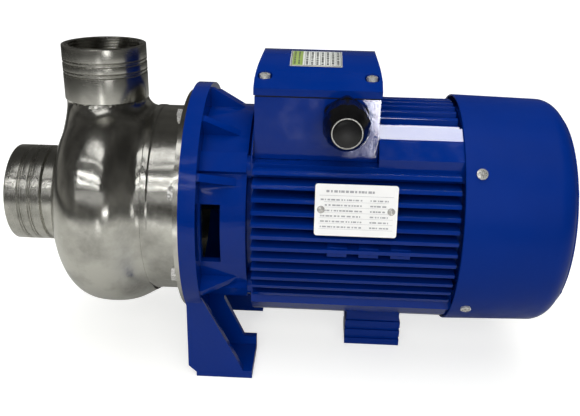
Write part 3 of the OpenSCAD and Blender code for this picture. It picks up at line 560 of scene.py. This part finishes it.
def casing_outline():
    """Half section of the pressed scroll, from its nose over its crest to its back, in millimetres.

    Two quarters of a superellipse, each with its depth along the shaft, its core's radius and its power."""
    nose_depth, nose_core, nose_power, nose_share = 46, 20, 2.6, 0.88
    back_depth, back_core, back_power = 43, 52, 2.3
    nose_steps, back_steps = 40, 30
    out = []
    for k in range(nose_steps + 1):
        t = math.pi / 2 * (1 - k / nose_steps) * nose_share
        out.append((CREST_X - nose_depth * math.sin(t) ** (2 / nose_power),
                    nose_core + (VOLUTE_R - nose_core) * math.cos(t) ** (2 / nose_power)))
    for k in range(1, back_steps + 1):
        t = math.pi / 2 * k / back_steps
        out.append((CREST_X + back_depth * math.sin(t) ** (2 / back_power),
                    back_core + (VOLUTE_R - back_core) * math.cos(t) ** (2 / back_power)))
    return out


def outline_distance(outline):
    """Signed distance to the scroll's section on a fine grid, negative inside."""
    step = 0.5
    xs = np.arange(-175, -40, step)
    rs = np.arange(0, 115, step)
    gx, gr = np.meshgrid(xs, rs, indexing="ij")
    closed = [(outline[0][0], -20)] + outline + [(outline[-1][0], -20)]
    best = np.full(gx.shape, 1e9)
    inside = np.zeros(gx.shape, bool)
    for (ax, ar), (bx, br) in zip(closed, closed[1:] + closed[:1]):
        dx, dr = bx - ax, br - ar
        t = np.clip(((gx - ax) * dx + (gr - ar) * dr) / (dx * dx + dr * dr), 0, 1)
        best = np.minimum(best, (gx - ax - t * dx) ** 2 + (gr - ar - t * dr) ** 2)
        if ar != br:
            crosses = (gr >= min(ar, br)) & (gr < max(ar, br)) & (gx > ax + (gr - ar) / dr * dx)
            inside ^= crosses
    distance = np.sqrt(best) * np.where(inside, -1, 1)
    return xs[0], rs[0], step, distance


def look_up(table, x, r):
    """The distance at (x, r), blended between the four nearest samples of the grid."""
    x0, r0, step, values = table
    fx = np.clip((x - x0) / step, 0, values.shape[0] - 1.001)
    fr = np.clip((r - r0) / step, 0, values.shape[1] - 1.001)
    i, j = fx.astype(int), fr.astype(int)
    u, v = fx - i, fr - j
    return ((values[i, j] * (1 - u) + values[i + 1, j] * u) * (1 - v)
            + (values[i, j + 1] * (1 - u) + values[i + 1, j + 1] * u) * v)


def joined(first, second, blend):
    """Smooth union of two distances."""
    h = np.clip(0.5 + 0.5 * (first - second) / blend, 0, 1)
    return first * (1 - h) + second * h - blend * h * (1 - h)


def casing_field(table, p):
    """The pressed scroll with its neck drawn up into the discharge, as a smooth signed distance."""
    x, y, z = p[..., 0], p[..., 1], p[..., 2]
    radius = np.sqrt(y * y + z * z)
    # The scroll is full at the bottom, narrower at its sides and a little tighter under the discharge
    rise = np.clip(z / np.maximum(radius, 1), -1, 1)
    top = np.clip(rise, 0, 1) ** 3
    narrow = np.clip((rise + 0.92) / 0.55, 0, 1)
    narrow = narrow * narrow * (3 - 2 * narrow)
    behind = np.maximum(x - CREST_X, 0)
    scroll = look_up(table, x + behind * 0.42 * narrow, radius * (1 + 0.045 * top))
    drum = np.maximum(radius - (DRUM_R - 0.4), -90 - x)
    scroll = joined(scroll, drum, 9.0)
    neck = np.maximum(np.sqrt((x - DISCHARGE_X) ** 2 + y * y) - (DISCHARGE_R - 1.2), 30 - z)
    return joined(scroll, neck, 12.0)


def surface_net(values, origin, cell):
    """Quads along the zero surface of a sampled field."""
    sign = values < 0
    shape = tuple(n - 1 for n in values.shape)
    total = np.zeros(shape + (3,))
    count = np.zeros(shape)
    corners = [(a, b, c) for a in (0, 1) for b in (0, 1) for c in (0, 1)]

    def at(array, corner):
        return array[tuple(slice(start, start + n) for start, n in zip(corner, shape))]

    for one in corners:
        for axis in range(3):
            if one[axis]:
                continue
            two = tuple(v + (k == axis) for k, v in enumerate(one))
            fa, fb = at(values, one), at(values, two)
            cut = at(sign, one) != at(sign, two)
            t = np.where(cut, fa / np.where(cut, fa - fb, 1), 0)
            for k in range(3):
                total[..., k] += np.where(cut, one[k] + (t if k == axis else 0), 0)
            count += cut
    active = count > 0
    index = np.full(shape, -1)
    index[active] = np.arange(active.sum())
    cells = np.argwhere(active)
    points = origin + (cells + total[active] / count[active][:, None]) * cell
    faces = []
    for axis in range(3):
        u, v = [k for k in range(3) if k != axis]
        ends = [slice(None)] * 3
        ends[axis] = slice(1, None)
        starts = [slice(None)] * 3
        starts[axis] = slice(0, -1)
        cut = np.argwhere(sign[tuple(starts)] != sign[tuple(ends)])
        cut = cut[(cut[:, u] > 0) & (cut[:, v] > 0) & (cut[:, u] < shape[u]) & (cut[:, v] < shape[v])]
        ring = []
        for du, dv in ((1, 1), (0, 1), (0, 0), (1, 0)):
            at_cell = cut.copy()
            at_cell[:, u] -= du
            at_cell[:, v] -= dv
            ring.append(index[tuple(at_cell.T)])
        quads = np.stack(ring, 1)
        inward = sign[tuple(cut.T)]
        flip = inward if axis != 1 else ~inward
        quads[~flip] = quads[~flip][:, ::-1]
        faces.append(quads[(quads >= 0).all(1)])
    return points, np.concatenate(faces)


def add_volute():
    """The scroll as one pressed sheet, open at the suction, the discharge and the drum."""
    table = outline_distance(casing_outline())
    cell = 1.9
    low = np.array([-164.0, -100.0, -100.0])
    high = np.array([-60.0, 100.0, 96.0])
    axes = [np.arange(low[k], high[k], cell) for k in range(3)]
    grid = np.stack(np.meshgrid(*axes, indexing="ij"), -1)
    points, faces = surface_net(casing_field(table, grid), low, cell)
    for _ in range(4):
        value = casing_field(table, points)
        slope = np.stack([(casing_field(table, points + d) - casing_field(table, points - d)) / 0.2
                          for d in np.eye(3) * 0.1], -1)
        points -= slope * (value / np.maximum((slope * slope).sum(-1), 0.05))[:, None]
    middles = points[faces].mean(1)
    radius = np.hypot(middles[:, 1], middles[:, 2])
    keep = (middles[:, 2] < WELD_Z) & (middles[:, 0] < VOLUTE_END_X)
    keep &= ~((radius < SUCTION_R - 2.5) & (middles[:, 0] < -140))
    used, faces = np.unique(faces[keep], return_inverse=True)
    faces = faces.reshape(-1, 4)
    points = points[used] * MM + np.array(SHAFT)
    volute = make_mesh("volute_shell", points, faces.tolist(), "polished_stainless", smooth=60)
    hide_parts("volute_casing")
    thick = volute.modifiers.new("sheet", "SOLIDIFY")
    thick.thickness = SHEET * MM
    thick.offset = -1


add_volute()


def add_drum():
    """The casing's straight drum, with the lip where it laps the scroll and its flare at the joint."""
    end = DRUM_END_X
    outline = rounded([
        (VOLUTE_END_X - 1.6, DRUM_R - 2.4, 0), (VOLUTE_END_X - 1.6, DRUM_R + 0.5, 0.6),
        (VOLUTE_END_X + 3.2, DRUM_R + 0.5, 0.8), (VOLUTE_END_X + 4.6, DRUM_R, 1.2),
        (end - 2.4, DRUM_R, 2.2), (end, DRUM_R + 2.2, 0), (end, DRUM_R - SHEET, 0),
        (VOLUTE_END_X - 1.6, DRUM_R - 2.4, 0)])
    lathe("casing_drum", outline, "polished_stainless", sides=224, smooth=50)


add_drum()


# Crest radii of the two pipe threads, and the depth and pitch that they share
SUCTION_THREAD_R = 36.1
DISCHARGE_THREAD_R = 28.3
THREAD_DEPTH = 1.45
THREAD_PITCH = 2.309


def thread_wall(name, crest_r, length, matrix):
    """The helical inner wall of a pipe thread, from its mouth at height 0 down to -length."""
    per_turn, sides = 8, 128
    rows = int(length / THREAD_PITCH * per_turn)
    points, faces = [], []
    for i in range(rows + 1):
        height = -length * i / rows
        for k in range(sides):
            phase = (height / THREAD_PITCH + k / sides) % 1.0
            ridge = min(1.0, max(0.0, (abs(phase - 0.5) * 2 - 0.14) / 0.72))
            fade = min(1.0, (rows - i) / 6)
            r = crest_r + THREAD_DEPTH * ridge * fade
            angle = 2 * math.pi * k / sides
            points.append((r * math.cos(angle) * MM, r * math.sin(angle) * MM, height * MM))
    for i in range(rows):
        for k in range(sides):
            m = (k + 1) % sides
            faces.append((i * sides + k, i * sides + m, (i + 1) * sides + m, (i + 1) * sides + k))
    return make_mesh(name, placed(points, matrix), faces, "turned_stainless", smooth=35)


def socket_outline(length, outer, thread, thread_len, bore, neck, neck_len):
    """Section of a pipe socket from its bore over the mouth and down its turned outside to its neck."""
    corners = [(-length, bore, 0), (-thread_len, bore, 0.5), (-thread_len, thread + 1.4, 0),
               (-1.4, thread + 1.5, 0), (0, thread + 2.9, 0.3), (0, outer - 0.1, 0.5)]
    for start, width, depth in GROOVES:
        corners += [(-start, outer, 0.3), (-start - 0.5, outer - depth, 0.35),
                    (-start - width + 0.5, outer - depth, 0.35), (-start - width, outer, 0.3)]
    corners += [(-length + neck_len, outer, 0.8), (-length + neck_len - 1.6, outer - neck, 0.6),
                (-length, outer - neck, 0), (-length, bore, 0)]
    return rounded(corners, 4)


# Grooves turned in both sockets, as (distance from the mouth, width, depth)
GROOVES = ((10.5, 1.3, 0.7), (12.6, 2.2, 1.0), (19.2, 1.2, 0.7), (21.2, 2.0, 1.0))


def add_sockets():
    """The two pipe sockets, each with its turned body, its thread's turns and its weld."""
    forwards = Matrix.Rotation(math.radians(-90), 4, "Y")
    suction_mouth = Matrix.Translation(Vector((suction_low.x, 0, SHAFT.z))) @ forwards
    length = (suction_high.x - suction_low.x) / MM
    body = lathe("suction_body", socket_outline(length, SUCTION_R, SUCTION_THREAD_R, 29, 33.1, 2, 16),
                 "turned_stainless", suction_mouth, smooth=35)
    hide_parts("suction_socket")
    thread_wall("suction_thread_turns", SUCTION_THREAD_R, 28, suction_mouth)
    weld_bead("suction_weld", 145.6, SUCTION_R - 1.2, 1.1, Matrix.Translation(SHAFT) @ forwards)
    discharge_mouth = Matrix.Translation(Vector((DISCHARGE_X * MM, 0, discharge_high.z)))
    length = (discharge_high.z - discharge_low.z) / MM
    body = lathe("discharge_body", socket_outline(length, DISCHARGE_R, DISCHARGE_THREAD_R, 26, 26.8, 1, 3),
                 "turned_stainless", discharge_mouth, smooth=35)
    dress(body, MATERIALS["turned_upright"])
    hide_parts("discharge_socket")
    thread_wall("discharge_thread_turns", DISCHARGE_THREAD_R, 25, discharge_mouth)
    weld_bead("discharge_weld", WELD_Z, DISCHARGE_R - 1.1, 1.0,
              Matrix.Translation(SHAFT + Vector((DISCHARGE_X * MM, 0, 0))))


add_sockets()


# ---- Screw heads ----

def pan_heads(name, places, head_r, head_h, shank_r, shank_len):
    """Domed screws with a cross recess. Each place has Z out of the head and the head's foot at zero."""
    sides, rings = 48, 16
    cross_w, cross_len, cross_depth = 0.17 * head_r, 0.62 * head_r, 0.42 * head_h
    points, faces = [], []
    for place in places:
        base = len(points)
        profile = [(head_r * (k / rings), head_h * (1 - 0.34 * (k / rings) ** 2))
                   for k in range(1, rings + 1)]
        profile += [(head_r, head_h * 0.3), (head_r * 0.97, 0)]
        profile += [(shank_r, 0), (shank_r, -shank_len), (0.05, -shank_len)]
        points.append(place @ Vector((0, 0, (head_h - cross_depth) * MM)))
        for radius, height in profile:
            for k in range(sides):
                angle = 2 * math.pi * k / sides
                x, y = radius * math.cos(angle), radius * math.sin(angle)
                in_cross = radius <= head_r and height > 0.6 * head_h and (
                    (abs(x) < cross_w and abs(y) < cross_len) or (abs(y) < cross_w and abs(x) < cross_len))
                points.append(place @ (Vector((x, y, height - (cross_depth if in_cross else 0))) * MM))
        for k in range(sides):
            faces.append((base, base + 1 + k, base + 1 + (k + 1) % sides))
        for i in range(len(profile) - 1):
            for k in range(sides):
                a, b = base + 1 + i * sides + k, base + 1 + i * sides + (k + 1) % sides
                faces.append((a, a + sides, b + sides, b))
    return make_mesh(name, points, faces, "zinc_screw", smooth=35)


def screw_places(node, outward):
    """(place of the head's foot, head height, head radius, shank length) for each solid of a fastener's node.

    outward(middle) gives a solid's direction. Lengths are in millimetres."""
    mesh = bmesh.new()
    mesh.from_mesh(nodes[node].data)
    bmesh.ops.remove_doubles(mesh, verts=mesh.verts, dist=1e-6)
    left, places = set(mesh.verts), []
    while left:
        queue, group = [left.pop()], []
        while queue:
            vertex = queue.pop()
            group.append(vertex.co.copy())
            for edge in vertex.link_edges:
                other = edge.other_vert(vertex)
                if other in left:
                    left.remove(other)
                    queue.append(other)
        middle = sum(group, Vector()) / len(group)
        way = outward(middle).normalized()
        spans = [(p - middle).dot(way) for p in group]
        radii = [((p - middle) - way * (p - middle).dot(way)).length for p in group]
        axis_low, axis_high = min(spans), max(spans)
        head = [span for span, radius in zip(spans, radii) if radius > 0.9 * max(radii)]
        turn = way.to_track_quat("Z", "Y").to_matrix().to_4x4()
        places.append((Matrix.Translation(middle + way * min(head)) @ turn, (axis_high - min(head)) / MM,
                       max(radii) / MM, (min(head) - axis_low) / MM))
    mesh.free()
    return sorted(places, key=lambda found: [round(v, 4) for v in found[0].translation])


def add_heads(node, outward, shank_r):
    """Screws in place of a fastener's CAD node, each with its cross turned another way."""
    found = screw_places(node, outward)
    height, radius, length = found[0][1:]
    turned = [place @ Matrix.Rotation(0.5 + 0.9 * k, 4, "Z") for k, (place, *_) in enumerate(found)]
    heads = pan_heads(node + "_heads", turned, radius, height, shank_r, length)
    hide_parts(node)


add_heads("fan_cover_screws", lambda middle: Vector((0, middle.y, middle.z - SHAFT.z)), 1.9)
add_heads("lid_screws", lambda middle: Vector((0, 0, 1)), 1.85)


def add_rivets():
    """Round rivet heads that hold the nameplate."""
    places = screw_places("nameplate_rivets", lambda middle: Vector((0, middle.y, middle.z - SHAFT.z)))
    points, faces = [], []
    rim = 0.1
    for place, height, radius, _ in places:
        outline = [(0, radius * 0.98), (rim, radius)]
        for t in range(1, 8):
            angle = t * math.pi / 16
            outline.append((rim + (height - rim) * math.sin(angle), radius * math.cos(angle)))
        more, quads = revolve(outline + [(height, 0.02)], 40)
        faces += [tuple(len(points) + i for i in q) for q in quads]
        points += placed(more, place)
    heads = make_mesh("nameplate_rivet_heads", points, faces, "spring_steel", smooth=60)
    dress(heads, MATERIALS["zinc_screw"])
    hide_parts("nameplate_rivets")


add_rivets()


# ---- Fan cover ----

def add_fan_cover():
    """The pressed cover, with a rolled front edge, and the rings and spokes of its grille."""
    low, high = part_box("fan_cover")
    front, back = low.x / MM, high.x / MM
    points = np.array([v.co for v in nodes["fan_cover"].data.vertices]) / MM
    radii = np.hypot(points[:, 1], points[:, 2] - SHAFT_H)
    front_r = radii.max()
    rear_r = radii[(points[:, 0] > front + 60) & (points[:, 0] < back - 15)].max()
    shoulder, sheet, grille_r = 17, 1.6, 82
    hub_r, ring_r, ring_step, ring_w, rings = 16, 21, 11, 6, 5
    spokes, spoke_in, spoke_half = 6, 10, 2.5
    outline = rounded([
        (back - sheet, grille_r, 0), (back - sheet, rear_r - sheet, shoulder - sheet),
        (front + 1.2, front_r - sheet, 0.6), (front + 1.0, front_r - sheet - 0.2, 0.3),
        (front, front_r - 1.4, 0.5), (front, front_r, 0.7),
        (back, rear_r, shoulder), (back, grille_r, 0.4), (back - sheet, grille_r, 0)], 12)
    cover = lathe("fan_cover_shell", outline, "blue_enamel", sides=256, smooth=40)
    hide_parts("fan_cover")
    dress(cover, MATERIALS["blue_satin"])
    points, faces = [], []
    bands = [(0.02, hub_r)]
    bands += [(ring_r + ring_step * k, ring_r + ring_w + ring_step * k) for k in range(rings)]
    bands.append((ring_r + ring_step * rings, grille_r + 0.5))
    for a, b in bands:
        ring = rounded([(back - sheet, a, 0), (back, a, 0.4), (back, b, 0.4), (back - sheet, b, 0)], 3)
        more, quads = revolve(ring + [ring[0]], 160)
        faces += [tuple(len(points) + i for i in q) for q in quads]
        points += more
    for k in range(spokes):
        angle = math.radians(360 / spokes * k)
        across = Vector((-math.sin(angle), math.cos(angle), 0))
        along = Vector((math.cos(angle), math.sin(angle), 0))
        base = len(points)
        for h in (back - sheet + 0.1, back - 0.1):
            for r, side in ((spoke_in, -1), (grille_r + 1, -1), (grille_r + 1, 1), (spoke_in, 1)):
                points.append((along * r + across * side * spoke_half + Vector((0, 0, h))) * MM)
        faces += [tuple(base + i for i in q) for q in
                  ((0, 3, 2, 1), (4, 5, 6, 7), (0, 1, 5, 4), (1, 2, 6, 5), (2, 3, 7, 6), (3, 0, 4, 7))]
    grille = make_mesh("fan_cover_grille", placed(points, ALONG_SHAFT), faces, "blue_enamel", smooth=40)
    dress(grille, MATERIALS["blue_satin"])


add_fan_cover()


# ---- Cable gland ----

def node_middle(node):
    """Middle of a CAD node's box."""
    low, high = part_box(node)
    return (low + high) / 2


BOX_FACE_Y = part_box("terminal_box")[0].y
GLAND_AXIS = Vector((node_middle("gland_cap_nut").x, BOX_FACE_Y, node_middle("gland_cap_nut").z))
ON_GLAND = Matrix.Translation(GLAND_AXIS) @ Matrix.Rotation(math.radians(90), 4, "X")


def shaped_lathe(name, outline, slot, matrix, shape, sides=144, smooth=35):
    """A lathe whose radius is changed by shape(angle, height, radius)."""
    points, faces = [], []
    for height, radius in outline:
        for k in range(sides):
            angle = 2 * math.pi * k / sides
            r = shape(angle, height, radius)
            points.append((r * math.cos(angle) * MM, r * math.sin(angle) * MM, height * MM))
    for i in range(len(outline) - 1):
        for k in range(sides):
            m = (k + 1) % sides
            faces.append((i * sides + k, i * sides + m, (i + 1) * sides + m, (i + 1) * sides + k))
    return make_mesh(name, placed(points, matrix), faces, slot, smooth=smooth)


def hexagon(flat, corner):
    """Radius of a hexagon of that half width, with its corners cut off at a radius."""
    def shape(angle, height, radius):
        turn = (angle + math.pi / 6) % (math.pi / 3) - math.pi / 6
        return min(radius * flat / math.cos(turn) / corner, radius)
    return shape


def grip(lobes, depth, low, high):
    """Grip flutes between two heights."""
    def shape(angle, height, radius):
        inside = min(1, max(0, (height - low) / 2), max(0, (high - height) / 2))
        wave = abs(math.sin(angle * lobes / 2)) ** 0.6
        return radius - depth * inside * (1 - wave)
    return shape


def add_gland():
    """The gland's hexagon, its fluted cap nut, and a blind plug's dome with a bright ring round it."""
    hex_part = shaped_lathe("gland_hex", rounded([
        (0, 12, 0), (0, 18.0, 0.5), (1.2, 18.4, 0.5), (7.6, 18.4, 0.5), (9.0, 17.2, 0.4), (9.2, 13.9, 0)], 4),
        "black_nylon", ON_GLAND, hexagon(16.6, 18.4))
    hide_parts("gland_body")
    cap = shaped_lathe("gland_cap", rounded([
        (9.3, 13.5, 0), (9.5, 16.6, 0.5), (10.6, 17.6, 0.8), (24.5, 17.6, 2.5), (31.5, 15.4, 4),
        (38.4, 12.4, 1.0), (39.6, 11.6, 0.5), (39.6, 10.7, 0.3), (34, 10.6, 0)], 6),
        "black_nylon", ON_GLAND, grip(12, 1.0, 10.5, 30.5))
    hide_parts("gland_cap_nut")
    dome_r, dome_foot, dome_rise = 10.3, 39.2, 3.4
    dome = [(36.5, dome_r)]
    dome += [(dome_foot + dome_rise * math.sin(t * math.pi / 40), dome_r * math.cos(t * math.pi / 40))
             for t in range(20)]
    dome.append((dome_foot + dome_rise, 0.02))
    plug = lathe("gland_plug_dome", dome, "black_nylon", ON_GLAND, smooth=60)
    dress(plug, MATERIALS["plug_nylon"])
    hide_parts("gland_blind_plug")
    rim = rounded([(39.3, 10.35, 0), (40.1, 10.45, 0.25), (40.1, 11.15, 0.25), (39.3, 11.25, 0)], 3)
    lathe("gland_rim_ring", rim, "zinc_screw", ON_GLAND, smooth=60)


add_gland()


# ---- Printed plates, with marks that say nothing ----

def bars(name, slot, matrix, rows, lift=0.04, thick=0.05):
    """Flat printed bars (x0, y0, x1, y1) in millimetres on a plate's own plane."""
    points, faces = [], []
    for x0, y0, x1, y1 in rows:
        base = len(points)
        for z in (lift, lift + thick):
            points += [(x0, y0, z), (x1, y0, z), (x1, y1, z), (x0, y1, z)]
        faces += [(base + 4, base + 5, base + 6, base + 7), (base, base + 3, base + 2, base + 1)]
        faces += [(base + k, base + (k + 1) % 4, base + 4 + (k + 1) % 4, base + 4 + k) for k in range(4)]
    return make_mesh(name, [matrix @ (Vector(p) * MM) for p in points], faces, slot)


def plate_plane():
    """Frame of the nameplate's face, with X along the motor and Z outwards, and its size in millimetres."""
    points = np.array([v.co for v in nodes["nameplate"].data.vertices])
    middle = (points.max(0) + points.min(0)) / 2
    normal = np.linalg.svd(points - points.mean(0))[2][2]
    normal = Vector(normal * (-1 if normal[1] > 0 else 1))
    across = Vector((1, 0, 0))
    up = normal.cross(across)
    offset = max(normal.dot(Vector(p) - Vector(middle)) for p in points)
    heights = [up.dot(Vector(p) - Vector(middle)) for p in points]
    turn = Matrix((across, up, normal)).transposed().to_4x4()
    size = ((points.max(0) - points.min(0))[0] / MM, (max(heights) - min(heights)) / MM)
    return Matrix.Translation(Vector(middle) + normal * offset) @ turn, size


def word_row(x0, x1, y, height, seed):
    """A row of short bars of uneven length, as a stand-in for a printed line."""
    out, x, k = [], x0, seed
    while x < x1 - 1:
        k = (k * 37 + 11) % 101
        length = 0.8 + (k % 7) * 0.35
        out.append((x, y, min(x + length, x1), y + height))
        x += length + 0.5 + (k % 3) * 0.35
    return out


def add_nameplate_print():
    """A heading and six rows of meaningless marks, with a thin rule under each."""
    matrix, (width, height) = plate_plane()
    left, right = -width / 2 + 2.2, width / 2 - 2.2
    rows = word_row(left + 6, right - 14, height / 2 - 6.2, 1.7, 5)
    for k in range(6):
        y = height / 2 - 12.2 - k * 4.1
        inset = 3.2 if abs(y) < 4.5 else 0
        rows += word_row(left + 2 + inset, right - 24, y, 1.1, 13 + 7 * k)
        rows += word_row(right - 18, right - 3 - inset, y, 1.1, 40 + 5 * k)
    bars("nameplate_marks", "printed_ink", matrix, rows)
    lines = [(left + inset_x, height / 2 - 13.3 - k * 4.1, right - inset_x, height / 2 - 13.15 - k * 4.1)
             for k in range(6) for inset_x in (4.6 if k in (0, 1, 2) else 1,)]
    lines += [(left + 1, height / 2 - 8.6, right - 1, height / 2 - 8.4)]
    bars("nameplate_rules", "printed_ink", matrix, lines, lift=0.03, thick=0.03)


def arch_circle():
    """(radius, height of the middle) of the lid's arch, in metres, from the label that lies on it."""
    points = np.array([v.co for v in nodes["lid_label"].data.vertices])
    y, z = points[:, 1], points[:, 2]
    fit = np.linalg.lstsq(np.stack([2 * z, np.ones(len(z))], 1), y * y + z * z, rcond=None)[0]
    return float(np.sqrt(fit[1] + fit[0] ** 2)), float(fit[0])


ARCH_R, ARCH_Z = arch_circle()
LABEL_TOP = 0.2


def on_arch(points, lift):
    """Bends points (x, y) in millimetres up onto the label on the lid's round top."""
    out = []
    for x, y in points:
        angle = math.asin(y * MM / ARCH_R)
        r = ARCH_R + (LABEL_TOP + lift) * MM
        out.append((x * MM, r * math.sin(angle), ARCH_Z + r * math.cos(angle)))
    return out


def arch_bars(name, slot, rows, lift):
    """Bars (x0, y0, x1, y1) in millimetres, printed on the label that bends over the lid."""
    points, faces = [], []
    for x0, y0, x1, y1 in rows:
        steps = max(1, int(abs(y1 - y0) / 2))
        for k in range(steps):
            a, b = y0 + (y1 - y0) * k / steps, y0 + (y1 - y0) * (k + 1) / steps
            base = len(points)
            points += on_arch([(x0, a), (x1, a), (x1, b), (x0, b)], lift)
            faces.append((base, base + 1, base + 2, base + 3))
    mesh = make_mesh(name, points, faces, slot, smooth=60)
    thick = mesh.modifiers.new("ink", "SOLIDIFY")
    thick.thickness = 0.04 * MM
    return mesh


def add_lid_print():
    """The film over the lid's label, and the generic marks printed on it."""
    low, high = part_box("lid_label")
    x0, x1, y0, y1 = low.x / MM, high.x / MM, -33.5, -2.0
    film = arch_bars("label_film_sheet", "label_film", [(x0, y0, x1, y1)], 0.0)
    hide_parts("lid_label")
    arch_bars("label_green", "label_green", [(x0 + 1.6, y0 + 1.6, x0 + 9.6, y1 - 1.6)], 0.05)
    columns = []
    for k in range(7):
        x = x0 + 11.6 + k * 4.0
        columns.append((x - 0.5, y0 + 1.6, x - 0.2, y1 - 1.6))
        for a, b, c, d in word_row(y0 + 2.4, y1 - 2.4, x + 0.5, 1.7, 3 + 9 * k):
            columns.append((b, a, d, c))
    for k in range(2):
        for a, b, c, d in word_row(y0 + 3, y1 - 3, x0 + 3 + 3.2 * k, 1.2, 21 + 4 * k):
            columns.append((b, a, d, c))
    columns += [(x0 + 0.6, y0 + 0.6, x1 - 0.6, y0 + 1.2), (x0 + 0.6, y1 - 1.2, x1 - 0.6, y1 - 0.6),
                (x0 + 0.6, y0 + 0.6, x0 + 1.2, y1 - 0.6), (x1 - 1.2, y0 + 0.6, x1 - 0.6, y1 - 0.6)]
    ink = arch_bars("label_marks", "printed_ink", columns, 0.08)
    dress(ink, MATERIALS["label_ink"])


add_nameplate_print()
add_lid_print()


def add_floor():
    """A wide plane to stand the pump on. It is part of the stage, not of the pump."""
    mesh = bpy.data.meshes.new("floor")
    half = 6.0
    corners = [(-half, -half, 0), (half, -half, 0), (half, half, 0), (-half, half, 0)]
    mesh.from_pydata(corners, [], [(0, 1, 2, 3)])
    floor = bpy.data.objects.new("floor", mesh)
    scene.collection.objects.link(floor)
    dress(floor, floor_material())


add_floor()
